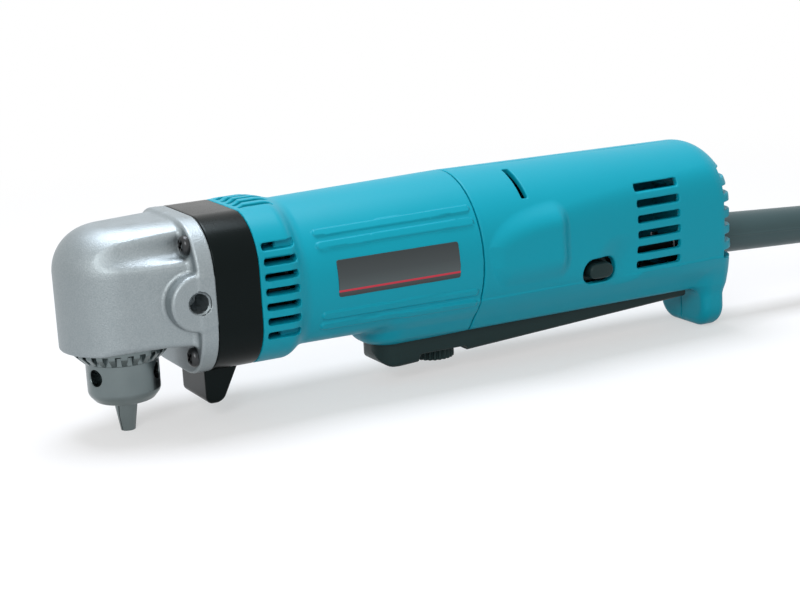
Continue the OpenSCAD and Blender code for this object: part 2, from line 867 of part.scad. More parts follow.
// Gear train inside the head
module spindle() {
    nose_z = chuck_top_z - nose_len;
    shoulder_z = upper_bearing_z - upper_bearing_h - spindle_end_gap;
    end_z = upper_bearing_z - seat_gap;
    color("lightgray") rotate_extrude() polygon([[0, nose_z], [nose_r, nose_z], [nose_r, chuck_top_z],
        [spindle_r, chuck_top_z], [spindle_r, shoulder_z], [upper_journal_r, shoulder_z],
        [upper_journal_r, end_z], [0, end_z]]);
}
module bevel_gear() {
    color("darkgray") translate([0, 0, shaft_rise]) rotate([180, 0, 0]) union() {
        bevel_blank(bevel_gear_r, bevel_pinion_r, bevel_back, spindle_r + fit_gap,
            bevel_gear_r - bevel_hub_step);
        bevel_teeth(bevel_gear_teeth, bevel_gear_r, bevel_pinion_r);
    }
}
module bevel_pinion() {
    color("darkgray") union() {
        translate([0, 0, shaft_rise]) rotate([0, 90, 0]) rotate([0, 0, 180 / bevel_pinion_teeth]) union() {
            bevel_blank(bevel_pinion_r, bevel_gear_r, overrun, 0, gear_shaft_r + pinion_hub_step);
            bevel_teeth(bevel_pinion_teeth, bevel_pinion_r, bevel_gear_r);
        }
        rod_x(gear_shaft_r, bevel_gear_r, gear_x1, 0, shaft_rise);
        rod_x(gear_journal_r, gear_x1, bulkhead_x + bush_len - journal_gap, 0, shaft_rise);
    }
}
module reduction_gear() {
    color("gainsboro") difference() {
        translate([0, 0, shaft_rise]) along_x(gear_x, gear_x1) rotate(270)
            polygon(gear_outline(spur_gear_teeth, spur_module));
        rod_x(gear_shaft_r + fit_gap, gear_x - overrun, gear_x1 + overrun, 0, shaft_rise);
    }
}
module upper_bearing() {
    color("silver") ring_z(upper_journal_r + run_gap, upper_bearing_r,
        upper_bearing_z - upper_bearing_h, upper_bearing_z);
}
module lower_bearing() {
    color("silver") ring_z(spindle_r + run_gap, lower_bearing_r,
        lower_bearing_z - lower_bearing_h, lower_bearing_z);
}
module bearing_box() {
    color("gray") difference() {
        rod_z(case_bore_r - fit_gap, box_z, lower_bearing_z);
        rod_z(lower_bearing_r + fit_gap, box_z + box_lip, lower_bearing_z + overrun);
        rod_z(lip_r, box_z - overrun, lower_bearing_z);
    }
}
module pinion_bearing() {
    color("silver") ring_x(gear_shaft_r + run_gap, pinion_bearing_r,
        pinion_bearing_x - pinion_bearing_len, pinion_bearing_x, shaft_rise);
}
module pinion_bush() {
    color("goldenrod") ring_x(gear_journal_r + run_gap, bush_r,
        bulkhead_x, bulkhead_x + bush_len, shaft_rise);
}

// Chuck
module jaw_frame(i) {
    rotate([0, 0, jaw_turn + 120 * i]) translate([jaw_tip_r, 0, -axis_height])
        rotate([0, jaw_angle, 0]) children();
}
module chuck_body() {
    color("silver") difference() {
        union() {
            rod_z(chuck_neck_r, sleeve_z + sleeve_land, chuck_top_z);
            rod_z(chuck_d / 2, chuck_nose_z + chuck_chamfer, sleeve_z + sleeve_land);
            translate([0, 0, chuck_nose_z]) cylinder(r1 = chuck_nose_r, r2 = chuck_d / 2, h = chuck_chamfer);
        }
        rod_z(nose_r + fit_gap, chuck_top_z - nose_len, chuck_top_z + overrun);
        rod_z(bit_bore_r, chuck_nose_z - overrun, chuck_top_z - nose_len - chuck_web);
        for (i = [0:2]) {
            intersection() {
                jaw_frame(i) cylinder(r = jaw_r + slide_gap, h = 2 * jaw_len);
                rotate([0, 0, jaw_turn + 120 * i])
                    box(bit_bore_r - overrun, chuck_d, -jaw_d, jaw_d, -axis_height, overrun);
            }
            rotate([0, 0, key_turn + 120 * i])
                rod_x(key_hole_d / 2, chuck_d / 2 - key_hole_depth, chuck_d, 0, key_hole_z);
        }
    }
}
module chuck_sleeve() {
    notch = 360 / sleeve_teeth;
    notch_half = chuck_d / sleeve_teeth;
    land_r = chuck_d / 2 + run_gap;
    bore_r = chuck_d / 2 + sleeve_gap;
    color("lightsteelblue") difference() {
        rotate_extrude() polygon([[land_r, sleeve_z], [chuck_d / 2 + sleeve_edge, sleeve_z],
            [sleeve_d / 2, sleeve_z + sleeve_bevel], [sleeve_d / 2, sleeve_top_z], [bore_r, sleeve_top_z],
            [bore_r, sleeve_z + sleeve_land], [land_r, sleeve_z + sleeve_land]]);
        for (i = [0:sleeve_teeth - 1]) {
            rotate([0, 0, notch * (i + 0.5)]) translate([bore_r, 0, 0]) along_x(0, sleeve_d / 2)
                polygon([[-notch_half, sleeve_z - overrun], [notch_half, sleeve_z - overrun],
                    [0, sleeve_z + sleeve_bevel * notch_share]]);
        }
    }
}
module jaw(i) {
    reach = chuck_d;
    point = jaw_gap / 2 / sin(60);
    flare = (reach - point) * tan(60);
    color("dimgray") difference() {
        intersection() {
            jaw_frame(i) translate([0, 0, -jaw_d]) cylinder(r = jaw_r, h = jaw_len + jaw_d);
            rotate([0, 0, jaw_turn + 120 * i]) translate([0, 0, -axis_height]) linear_extrude(jaw_len + jaw_d)
                polygon([[point, 0], [reach, -flare], [reach, flare]]);
            union() {
                translate([0, 0, -axis_height]) cylinder(r1 = jaw_point_r, r2 = jaw_waist_r, h = jaw_show);
                rod_z(reach, chuck_nose_z, 0);
            }
        }
        rod_z(grip_d / 2, -axis_height - overrun, 0);
    }
}

// Motor
module field_core() {
    color("#6a6e74") difference() {
        along_x(field_x, field_x + field_len) flat_round(field_r, field_flat);
        rod_x(field_bore_r, field_x - overrun, field_x + field_len + overrun);
        for (i = [-1, 1]) {
            box(field_x - overrun, field_x + field_len + overrun, i > 0 ? coil_in_r : -coil_r,
                i > 0 ? coil_r : -coil_in_r, -coil_half, coil_half);
        }
    }
}
module coil_bar(side) {
    y0 = coil_in_r + coil_gap;
    y1 = coil_r - coil_gap;
    box(field_x - coil_h / 2, field_x + field_len + coil_h / 2, side > 0 ? y0 : -y1,
        side > 0 ? y1 : -y0, -coil_half + coil_gap, coil_half - coil_gap);
}
module field_coils() {
    color("#b06a2c") difference() {
        union() {
            ring_x(coil_in_r, coil_r, field_x - coil_h, field_x);
            ring_x(coil_in_r, coil_r, field_x + field_len, field_x + field_len + coil_h);
            coil_bar(1);
            coil_bar(-1);
        }
        box(field_x - coil_h - overrun, field_x + field_len + coil_h + overrun, -bore_r, bore_r,
            -coil_split / 2, coil_split / 2);
    }
}
module armature_shaft() {
    color("lightgray") union() {
        along_x(gear_x - pinion_overhang, bulkhead_x) rotate(90 + 180 / spur_pinion_teeth)
            polygon(gear_outline(spur_pinion_teeth, spur_module));
        rod_x(shaft_r, bulkhead_x, shaft_end_x - overrun);
    }
}
module armature_core() {
    color("#5c6066") difference() {
        rod_x(armature_d / 2, core_x, core_x + core_len);
        rod_x(shaft_r + fit_gap, core_x - overrun, core_x + core_len + overrun);
        for (i = [0:core_slots - 1]) {
            rotate([360 * i / core_slots, 0, 0]) box(core_x - overrun, core_x + core_len + overrun,
                armature_d / 2 - core_slot_depth, armature_d, -core_slot_w / 2, core_slot_w / 2);
        }
    }
}
module armature_winding() {
    color("#b87333") union() {
        ring_x(shaft_r + fit_gap, winding_r, core_x - winding_len, core_x);
        ring_x(shaft_r + fit_gap, winding_r, core_x + core_len, core_x + core_len + winding_len);
    }
}
module commutator() {
    color("#c58a4a") difference() {
        rod_x(commutator_d / 2, commutator_x, commutator_x + commutator_len);
        rod_x(shaft_r + fit_gap, commutator_x - overrun, commutator_x + commutator_len + overrun);
        for (i = [0:commutator_bars - 1]) {
            rotate([360 * i / commutator_bars, 0, 0])
                box(commutator_x - overrun, commutator_x + commutator_len + overrun,
                    commutator_d / 2 - bar_depth, commutator_d, -bar_gap / 2, bar_gap / 2);
        }
    }
}
module fan() {
    color("#d8d8d0") difference() {
        union() {
            rod_x(fan_hub_r, fan_x, fan_x + fan_len);
            rod_x(fan_d / 2, fan_x + fan_len - fan_disc_t, fan_x + fan_len);
            for (i = [0:fan_blades - 1]) {
                rotate([360 * i / fan_blades, 0, 0]) box(fan_x, fan_x + fan_len - fan_disc_t / 2,
                    blade_in_r, fan_d / 2 - blade_inset, -blade_t / 2, blade_t / 2);
            }
        }
        rod_x(shaft_r + fit_gap, fan_x - overrun, fan_x + fan_len + overrun);
    }
}
module front_bearing() {
    color("silver") ring_x(shaft_r + run_gap, motor_bearing_r, seat_x, seat_x + motor_bearing_len);
}
module rear_bearing() {
    color("silver") ring_x(shaft_r + run_gap, rear_bearing_r, bracket_x + bracket_wall,
        bracket_x + bracket_wall + rear_bearing_len);
}
module rear_bracket() {
    side = grip_w / 2 - wall + bracket_swell;
    color("#3a3a3c") difference() {
        intersection() {
            along_x(bracket_x, bracket_x + bracket_len) flat_round(bracket_r, bracket_flat);
            box(bracket_x - overrun, bracket_x + bracket_len + overrun, -side, side, -seam_r, seam_r);
        }
        rod_x(shaft_r + shaft_room, bracket_x - overrun, bracket_x + bracket_len);
        rod_x(rear_bearing_r + fit_gap, bracket_x + bracket_wall, bracket_x + bracket_len + overrun);
    }
}
module brush_holders() {
    color("#b08d57") for (i = [0, 1]) {
        mirror([0, i, 0]) difference() {
            box(holder_x, bracket_x, holder_in_y, holder_in_y + holder_len, -holder_z, holder_z);
            box(brush_x - slide_gap, brush_x + brush_w + slide_gap, holder_in_y - overrun,
                holder_in_y + holder_len + overrun, -brush_h / 2 - slide_gap, brush_h / 2 + slide_gap);
        }
    }
}
module brushes() {
    color("#2b2b2b") for (i = [0, 1]) {
        mirror([0, i, 0]) box(brush_x, brush_x + brush_w, commutator_d / 2 + brush_gap,
            commutator_d / 2 + brush_gap + brush_len, -brush_h / 2, brush_h / 2);
    }
}

// Handle shells
module handle_section(inset) {
    r = seam_r - inset;
    crease_y = sqrt(r * r - crease_z * crease_z);
    intersection() {
        circle(r);
        translate([-r, crease_z]) square([2 * r, 2 * r]);
    }
    polygon([[-crease_y, crease_z], [crease_y, crease_z], [skirt_w / 2 - inset, -skirt_drop + inset],
        [-skirt_w / 2 + inset, -skirt_drop + inset]]);
}
module handle_plan(inset, lead) {
    corner_x = tail_x - tail_round;
    polygon([[seam_x - lead, -seam_r + inset], [grip_x, -grip_w / 2 + inset], [corner_x, -tail_w / 2 + inset],
        [corner_x, tail_w / 2 - inset], [grip_x, grip_w / 2 - inset], [seam_x - lead, seam_r - inset]]);
    translate([corner_x, tail_round - tail_w / 2]) square([tail_round - inset, tail_w - 2 * tail_round]);
    for (i = [-1, 1]) {
        translate([corner_x, i * (tail_w / 2 - tail_round)]) circle(tail_round - inset);
    }
}
module handle_side(inset, lead) {
    corner_x = tail_x - tail_top_round;
    height = side_tail + skirt_drop - 2 * inset;
    polygon([[seam_x - lead, inset - skirt_drop], [corner_x, inset - skirt_drop],
        [corner_x, side_tail - inset], [seam_x - lead, side_top - inset]]);
    translate([corner_x, inset - skirt_drop])
        square([tail_top_round - inset, height - tail_top_round + inset]);
    translate([corner_x, side_tail - tail_top_round]) circle(tail_top_round - inset);
}
module handle_form(inset, lead) {
    intersection() {
        along_x(seam_x - lead, tail_x - inset) handle_section(inset);
        translate([0, 0, -2 * seam_r]) linear_extrude(4 * seam_r) handle_plan(inset, lead);
        along_y(-2 * seam_r, 2 * seam_r) handle_side(inset, lead);
    }
}
module blister() {
    intersection() {
        handle_form(-blister_h, 0);
        along_y(-2 * seam_r, 2 * seam_r) polygon([for (s = blister_shares)
            [blister_x + s[0] * blister_len, blister_z + s[1] * blister_half]]);
    }
}
module foot() {
    along_y(-foot_w / 2, foot_w / 2) union() {
        translate([foot_x, -axis_height + foot_round])
            square([foot_len, axis_height - foot_round - bore_flat]);
        translate([foot_x + foot_round, -axis_height])
            square([foot_len - foot_round - foot_heel, axis_height - bore_flat]);
        translate([foot_x + foot_round, -axis_height + foot_round]) circle(foot_round);
        translate([tail_x - foot_heel, -axis_height + foot_heel]) circle(foot_heel);
        translate([tail_x - foot_heel, -axis_height + foot_heel]) square([foot_heel, foot_round]);
    }
}
module inner_posts() {
    intersection() {
        handle_form(bury, 0);
        union() {
            for (s = screw_spots) {
                rod_y(screw_boss_r, -seam_r, seam_r, s[0], s[1]);
            }
            for (i = [0, 1]) {
                mirror([0, i, 0]) {
                    rod_y(pin_boss_r, slot_w / 2, seam_r, pivot_x, pivot_z);
                    box(switch_x1 - rib_t, switch_x1, switch_w / 2, seam_r,
                        switch_bottom + rib_t, switch_top - rib_t);
                    box(clamp_x, clamp_x + clamp_len, clamp_boss_y, seam_r, entry_z - lead_r, clamp_top_z);
                }
            }
            box(button_x - recess_r - move_gap, button_x + recess_r + move_gap, -seam_r, -pad_in_y,
                button_z - recess_r, button_z + recess_r);
        }
    }
}
module tail_vents() {
    for (side = [0, 1], i = [0:vents - 1]) {
        z = vent_mid_z + (i - (vents - 1) / 2) * vent_pitch;
        mirror([0, side, 0]) box(vent_x, vent_x + vent_len, tail_w / 2 - 2 * wall, seam_r,
            z - vent_h / 2, z + vent_h / 2);
    }
}
module tail_gills() {
    for (i = [0:gills - 1]) {
        z = gill_top_z - i * gill_pitch;
        low = z - gill_h < entry_z + guard_flange_r;
        for (side = [0, 1]) {
            mirror([0, side, 0]) box(tail_x - gill_depth, tail_x + overrun,
                low ? guard_flange_r + wall : -overrun, seam_r, z - gill_h / 2, z + gill_h / 2);
        }
    }
}
module handle_whole() {
    difference() {
        union() {
            difference() {
                union() {
                    handle_form(0, 0);
                    foot();
                    blister();
                }
                handle_form(wall, overrun);
            }
            inner_posts();
        }
        box(seam_x - overrun, slot_end_x, -slot_w / 2, slot_w / 2,
            -axis_height + foot_round, -skirt_drop + 2 * wall);
        tail_vents();
        tail_gills();
        rod_x(guard_hole_r, tail_x - 2 * wall, tail_x + overrun, 0, entry_z);
        rod_y(pin_d / 2 + fit_gap, -skirt_w / 2, skirt_w / 2, pivot_x, pivot_z);
        for (i = [-1, 1]) {
            rod_z(clamp_screw_r + fit_gap, entry_z - lead_r - overrun, clamp_top_z - overrun,
                clamp_x + clamp_len / 2, i * clamp_screw_y);
        }
        for (s = screw_spots) {
            rod_y(screw_r + fit_gap, -screw_tip_y - fit_gap, screw_seat_y + overrun, s[0], s[1]);
            rod_y(screw_head_r + screw_head_gap, screw_seat_y, seam_r + overrun, s[0], s[1]);
        }
    }
}
module half_space(side) {
    box(seam_x - overrun, tail_x + overrun, side > 0 ? 0 : -2 * seam_r, side > 0 ? 2 * seam_r : 0,
        -axis_height - overrun, 2 * seam_r);
}
module handle_left() {
    color("#2aa7bd") intersection() {
        handle_whole();
        half_space(1);
    }
}
module handle_right() {
    color("#1fa0b8") difference() {
        intersection() {
            handle_whole();
            half_space(-1);
        }
        rod_y(recess_r, -seam_r - overrun, -recess_y, button_x, button_z);
        translate([button_x, 0, button_z]) along_y(-seam_r, -pad_in_y + overrun)
            pill(button_len + 2 * button_gap, button_h + 2 * button_gap);
        rotate([-slit_angle, 0, 0]) box(slit_x, slit_x + slit_w, -seam_r - overrun,
            -seam_r + slit_depth, -slit_len / 2, slit_len / 2);
    }
}
module handle_screws() {
    color("dimgray") for (s = screw_spots) {
        difference() {
            union() {
                rod_y(screw_r, -screw_tip_y, screw_seat_y, s[0], s[1]);
                rod_y(screw_head_r, screw_seat_y, screw_seat_y + screw_head_h, s[0], s[1]);
            }
            translate([s[0], screw_seat_y + screw_head_h / 2, s[1]]) rotate([-90, 0, 0])
                cylinder(r = screw_r, h = screw_head_h, $fn = 6);
        }
    }
}

// Switch, lock and lever
module switch_body() {
    color("#2e2e30") difference() {
        box(switch_x, switch_x1, -switch_w / 2, switch_w / 2, switch_bottom, switch_top);
        rod_z(plunger_r + slide_gap, switch_bottom - overrun, switch_bottom + plunger_bore, plunger_x);
    }
}
function lever_top(x) = ceiling_z - lever_headroom - (pivot_x - x) * sin(lever_travel);
function lever_floor(x) =
    lever_rear_z + (lever_front_z - lever_rear_z) * (pivot_x - x) / (lever_reach - lever_nose);
module switch_plunger() {
    tip = lever_floor(plunger_x) + lever_wall + plunger_gap;
    color("#e8e4da") rod_z(plunger_r, tip, switch_bottom + plunger_bore - plunger_stop, plunger_x);
}
module capacitor() {
    x0 = switch_x + capacitor_lead;
    color("#3f5f8f") box(x0, x0 + capacitor_len, -capacitor_w / 2, capacitor_w / 2,
        switch_top, switch_top + capacitor_h);
}
module lever_outline() {
    front = pivot_x - lever_reach;
    polygon([[front, lever_top(front)], [front + lever_lip / 2, lever_top(front) - lever_lip],
        [front + lever_nose, lever_front_z], [pivot_x + hub_r, lever_rear_z], [pivot_x + hub_r, pivot_z],
        [pivot_x - 2 * hub_r, pivot_z], [seam_x + overrun, lever_top(seam_x)]]);
    translate([pivot_x, pivot_z]) circle(hub_r);
}
module lever() {
    pocket_x = seam_x + overrun;
    pocket_x1 = pivot_x - 2 * hub_r;
    color("#26302f") difference() {
        along_y(-lever_w / 2, lever_w / 2) lever_outline();
        rod_y(pin_d / 2 + slide_gap, -lever_w, lever_w, pivot_x, pivot_z);
        along_y(-lever_w / 2 + lever_wall, lever_w / 2 - lever_wall) polygon([
            [pocket_x, lever_floor(pocket_x) + lever_wall], [pocket_x1, lever_floor(pocket_x1) + lever_wall],
            [pocket_x1, 0], [pocket_x, 0]]);
        rod_z(dial_d / 2 + seat_gap, -axis_height, lever_floor(dial_x) + dial_h - dial_proud, dial_x);
        rod_z(dial_screw_r + slide_gap, -axis_height, 0, dial_x);
    }
}
module lever_pin() {
    color("silver") rod_y(pin_d / 2, -skirt_w / 2 + fit_gap, skirt_w / 2 - fit_gap, pivot_x, pivot_z);
}
module lever_spring() {
    seat = lever_floor(lever_spring_x) + lever_wall + spring_wire_r + spring_gap;
    height = switch_bottom - seat - spring_wire_r - slide_gap;
    color("silver") translate([lever_spring_x, 0, seat])
        tube(helix(lever_spring_r, height, spring_curls), spring_wire_r, loop_sides);
}
module speed_dial() {
    top = lever_floor(dial_x) + dial_h - dial_proud - seat_gap;
    color("#2c2c2e") union() {
        difference() {
            rod_z(dial_d / 2, top - dial_h, top, dial_x);
            for (i = [0:dial_grip - 1]) {
                translate([dial_x, 0, 0]) rotate([0, 0, 360 * i / dial_grip])
                    rod_z(dial_groove_r, top - dial_h - overrun, top + overrun, dial_d / 2);
            }
        }
        rod_z(dial_screw_r, top, top + dial_stem, dial_x);
    }
}
module lock_button() {
    face = recess_y + button_proud;
    shoulder = pad_in_y - button_stop_gap;
    back = -shoulder + button_flange_t;
    color("#2b2d2c") translate([button_x, 0, button_z]) union() {
        along_y(-face, -shoulder) pill(button_len, button_h);
        along_y(-shoulder, back) pill(button_len + 2 * button_flange, button_h + 2 * button_flange);
        rod_y(stem_r, back, back + stem_len);
    }
}
module lock_spring() {
    seat = pad_in_y - button_stop_gap - button_flange_t - spring_wire_r - slide_gap;
    height = seat - switch_w / 2 - spring_wire_r - slide_gap;
    color("silver") translate([button_x, -seat, button_z]) rotate([-90, 0, 0])
        tube(helix(lock_spring_r, height, spring_curls), spring_wire_r, loop_sides);
}

// Cord entry
module inner_lead() {
    color("#1f1f21") rod_x(lead_r, switch_x1, lead_x1, 0, entry_z);
}
module cord_clamp() {
    top = entry_z - lead_r;
    color("#37393b") difference() {
        box(clamp_x, clamp_x + clamp_len, -clamp_w / 2, clamp_w / 2, top - clamp_t, top);
        for (i = [-1, 1]) {
            rod_z(clamp_screw_r + fit_gap, top - clamp_t - overrun, top + overrun,
                clamp_x + clamp_len / 2, i * clamp_screw_y);
        }
    }
}
module clamp_screws() {
    under = entry_z - lead_r - clamp_t;
    color("silver") for (i = [-1, 1]) {
        translate([clamp_x + clamp_len / 2, i * clamp_screw_y, 0]) {
            rod_z(clamp_screw_r, under, clamp_top_z - overrun - fit_gap);
            rod_z(2 * clamp_screw_r, under - clamp_screw_r, under);
        }
    }
}
module cord_guard() {
    color("#3a3d40") union() {
        rod_x(guard_flange_r, lead_x1, tail_x - wall, 0, entry_z);
        rod_x(guard_hole_r - slide_gap, tail_x - wall, tail_x, 0, entry_z);
        rod_x(guard_d / 2, tail_x, tail_x + guard_root, 0, entry_z);
        translate([tail_x + guard_root - overrun, 0, entry_z]) rotate([0, 90 + guard_tilt, 0])
            cylinder(r1 = guard_d / 2 - guard_step, r2 = guard_end_r, h = guard_len);
    }
}

// Cord, hank, tie and plug, drawn on the floor
function share(t) = min(max(t, 0), 1);
function ease(t) = share(t) * share(t) * (3 - 2 * share(t));
function bow(t) = share(t) < 0.5 ? 2 * share(t) * share(t) : 1 - 2 * share(1 - t) * share(1 - t);
function lead_point(t) =
    let (reach = cord_lead - 2 * cord_d)
    cord_start + [reach * t, -hank_r * bow((reach * t - cord_lead_in) / (reach - cord_lead_in)),
        (hank_z - cord_start[2]) * bow(t)];
module cord() {
    color("#1f1f21") tube(cord_route, cord_d / 2, cord_sides);
}
function hank_layer(turn, i) = share((turn - i * (layer_turns + climb_turns)) / layer_turns);
function hank_climb(turn, i) = share((turn - layer_turns - i * (layer_turns + climb_turns)) / climb_turns);
function hank_radius(turn) =
    hank_r + hank_pitch * (hank_layer(turn, 1) - hank_layer(turn, 0) - hank_layer(turn, 2))
        + hank_dip * (sin(180 * hank_climb(turn, 1)) - sin(180 * hank_climb(turn, 0)));
function hank_point(turn) =
    let (phase = turn - floor(turn), back = phase >= 0.5, part = back ? phase - 0.5 : phase,
        way = back ? -1 : 1, run = share(part / hank_straight),
        bend = -90 + 180 * max(part - hank_straight, 0) / (0.5 - hank_straight), r = hank_radius(turn))
    hank_centre + [way * (hank_len * (run - 0.5) + r * cos(bend)), way * r * sin(bend),
        hank_pitch * (ease(hank_climb(turn, 0)) + ease(hank_climb(turn, 1)))];
function from_line(p, a, b) = norm(p - a - share((p - a) * (b - a) / ((b - a) * (b - a))) * (b - a));
function least_gap(path, apart, d) =
    min([for (i = [0:len(path) - 1]) for (j = [0:len(path) - 2])
        if (abs(i - j) > apart) from_line(path[i], path[j], path[j + 1])]) - d;
module cord_coil() {
    echo("Least gap of the hank to itself in mm", least_gap(hank_path, loop_rings / 4, cord_d));
    color("#1f1f21") tube(hank_path, cord_d / 2, loop_sides);
}
function end_point(t) = hank_last + [cord_d, 0, 0] + [end_len * t, -hank_last[1] * bow(t),
    (plug_d / 2 - hank_last[2]) * bow((t - 1 + end_fall_share) / end_fall_share)];
module cord_end() {
    color("#1f1f21") tube(end_route, cord_d / 2, loop_sides);
}
module cord_tie() {
    x = hank_point(tie_phase)[0];
    y0 = -hank_radius(tie_phase) - cord_d / 2 - tie_gap;
    y1 = -hank_radius(layer_turns + tie_phase) + cord_d / 2 + tie_gap;
    z0 = hank_z - cord_d / 2 - tie_gap;
    z1 = hank_z + 2 * hank_pitch + cord_d / 2 + tie_gap;
    color("#202022") difference() {
        box(x - tie_w / 2, x + tie_w / 2, y0 - tie_t, y1 + tie_t, z0 - tie_t, z1 + tie_t);
        box(x - tie_w, x + tie_w, y0, y1, z0, z1);
    }
}
module plug_body() {
    color("#1f1f21") translate(plug_start) rotate([0, 90, 0]) union() {
        cylinder(r1 = plug_neck_r, r2 = plug_d / 2, h = plug_taper);
        translate([0, 0, plug_taper]) cylinder(d = plug_d, h = plug_len - plug_taper);
    }
}
module plug_blades() {
    color("silver") translate(plug_start + [plug_len, 0, 0]) for (i = [-1, 1]) {
        box(0, blade_len, i * blade_space / 2 - blade_thick / 2, i * blade_space / 2 + blade_thick / 2,
            -blade_w / 2, blade_w / 2);
    }
}

stand() gear_case();
stand() case_screws();
stand() spacer_ring();
stand() motor_housing();
stand() rating_plate();
stand() fan_baffle();
stand() handle_left();
stand() handle_right();
stand() handle_screws();
stand() spindle();
stand() bevel_gear();
stand() upper_bearing();
stand() lower_bearing();
stand() bearing_box();
stand() bevel_pinion();
stand() pinion_bearing();
stand() pinion_bush();
stand() reduction_gear();
stand() chuck_body();
stand() chuck_sleeve();
stand() jaw(0);  // jaw_1
stand() jaw(1);  // jaw_2
stand() jaw(2);  // jaw_3
stand() field_core();
stand() field_coils();
stand() armature_shaft();
stand() armature_core();
stand() armature_winding();
stand() commutator();
stand() fan();
stand() front_bearing();
stand() rear_bearing();
stand() rear_bracket();
stand() brush_holders();
stand() brushes();
stand() switch_body();
stand() switch_plunger();
stand() capacitor();
stand() lever();
stand() lever_pin();
stand() lever_spring();
stand() speed_dial();
stand() lock_button();
stand() lock_spring();
stand() inner_lead();
stand() cord_clamp();
stand() clamp_screws();
stand() cord_guard();
cord();
cord_coil();
cord_end();
cord_tie();
plug_body();
plug_blades();
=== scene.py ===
import json
import math

import bpy
import numpy as np
from mathutils import Matrix, Vector


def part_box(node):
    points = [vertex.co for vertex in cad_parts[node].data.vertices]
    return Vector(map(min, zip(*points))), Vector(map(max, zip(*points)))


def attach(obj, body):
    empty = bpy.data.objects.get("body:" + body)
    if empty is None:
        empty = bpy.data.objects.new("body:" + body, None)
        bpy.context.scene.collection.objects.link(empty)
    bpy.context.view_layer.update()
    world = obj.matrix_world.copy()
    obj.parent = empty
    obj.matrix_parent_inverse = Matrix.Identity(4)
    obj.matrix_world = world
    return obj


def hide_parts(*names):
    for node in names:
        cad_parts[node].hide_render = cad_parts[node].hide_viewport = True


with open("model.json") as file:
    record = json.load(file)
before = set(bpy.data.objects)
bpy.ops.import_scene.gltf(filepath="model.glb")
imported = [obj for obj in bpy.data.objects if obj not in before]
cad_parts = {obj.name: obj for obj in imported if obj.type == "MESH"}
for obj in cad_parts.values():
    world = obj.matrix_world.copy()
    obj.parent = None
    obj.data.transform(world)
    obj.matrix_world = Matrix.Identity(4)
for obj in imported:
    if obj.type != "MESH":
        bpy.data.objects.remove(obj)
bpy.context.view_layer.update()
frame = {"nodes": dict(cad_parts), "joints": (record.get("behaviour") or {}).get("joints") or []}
mm = 0.001

# the drill's own axes in millimetres: x from the chuck axis, y from the middle, z from the motor axis
jointAt = {j["name"]: j.get("pos_m") for j in frame["joints"]}
toolOrigin = np.array([jointAt["chuck_spin"][0], 0.0, jointAt["armature_spin"][2]]) / mm


def spanOf(node):  # a node's low and high corners in the drill's own axes
    low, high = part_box(node)
    return np.array(low) / mm - toolOrigin, np.array(high) / mm - toolOrigin


flangeRear = spanOf("gear_case")[1][0]
seamX = spanOf("handle_right")[0][0]
tailX = spanOf("handle_right")[1][0]
floorZ = spanOf("handle_right")[0][2]


# camera, at the photograph's viewing angle

viewing = {"azimuth": -26.28, "elevation": 13.32, "roll": -3.40, "lens": 89.47, "sensor": 36,
           "place": (-0.32686, -0.65619, 0.2029)}


def makeCamera():
    azimuth, elevation, roll = (math.radians(viewing[k]) for k in ("azimuth", "elevation", "roll"))
    back = Vector((math.sin(azimuth) * math.cos(elevation), -math.cos(azimuth) * math.cos(elevation),
                   math.sin(elevation)))
    right = Vector((math.cos(azimuth), math.sin(azimuth), 0))
    up = back.cross(right)
    tiltedRight = right * math.cos(roll) + up * math.sin(roll)
    tiltedUp = up * math.cos(roll) - right * math.sin(roll)
    camera = bpy.data.objects.new("camera", bpy.data.cameras.new("camera"))
    camera.data.lens = viewing["lens"]
    camera.data.sensor_width = viewing["sensor"]
    turn = Matrix((tiltedRight, tiltedUp, back)).transposed().to_4x4()
    turn.translation = viewing["place"]
    camera.matrix_world = turn
    bpy.context.scene.collection.objects.link(camera)
    bpy.context.scene.camera = camera


makeCamera()
print("camera placed")


# meshes from numpy arrays

def newPiece(name, points, faces, normals=None):
    mesh = bpy.data.meshes.new(name)
    mesh.from_pydata(np.asarray(points).tolist(), [], faces if isinstance(faces, list) else faces.tolist())
    mesh.polygons.foreach_set("use_smooth", np.ones(len(mesh.polygons), bool))
    if normals is not None:
        mesh.normals_split_custom_set_from_vertices(normals.tolist())
    mesh.update()
    piece = bpy.data.objects.new(name, mesh)
    bpy.context.scene.collection.objects.link(piece)
    return piece


def gridFaces(rows, columns, closedRows=False):
    # quads between neighbouring rows, each row a closed ring
    i = np.arange(rows if closedRows else rows - 1)[:, None]
    j = np.arange(columns)[None, :]
    down, across = (i + 1) % rows, (j + 1) % columns
    quads = np.stack(np.broadcast_arrays(i * columns + j, down * columns + j,
                                         down * columns + across, i * columns + across), -1)
    return quads.reshape(-1, 4)


def tubeAlong(path, profile, up=(0, 0, 1), closed=False):
    # a closed profile (across, upward), one for all or one for each point, is carried square along the path
    if closed:
        tangent = np.roll(path, -1, 0) - np.roll(path, 1, 0)
    else:
        tangent = np.gradient(path, axis=0)
    tangent /= np.linalg.norm(tangent, axis=1, keepdims=True)
    side = np.cross(tangent, np.array(up, float))
    side /= np.linalg.norm(side, axis=1, keepdims=True)
    top = np.cross(side, tangent)
    profile = np.broadcast_to(profile, (len(path),) + np.shape(profile)[-2:])
    rings = path[:, None] + profile[..., 0, None] * side[:, None] + profile[..., 1, None] * top[:, None]
    rows, columns = rings.shape[:2]
    faces = gridFaces(rows, columns, closed).tolist()
    points = rings.reshape(-1, 3)
    if closed:
        return points, faces
    # the first and last rings are closed by a fan round their middles
    j = np.arange(columns)
    k, base, count = (j + 1) % columns, (rows - 1) * columns, len(points)
    faces += np.stack([j, k, np.full(columns, count)], -1).tolist()
    faces += np.stack([base + k, base + j, np.full(columns, count + 1)], -1).tolist()
    return np.vstack([points, rings[0].mean(0), rings[-1].mean(0)]), faces


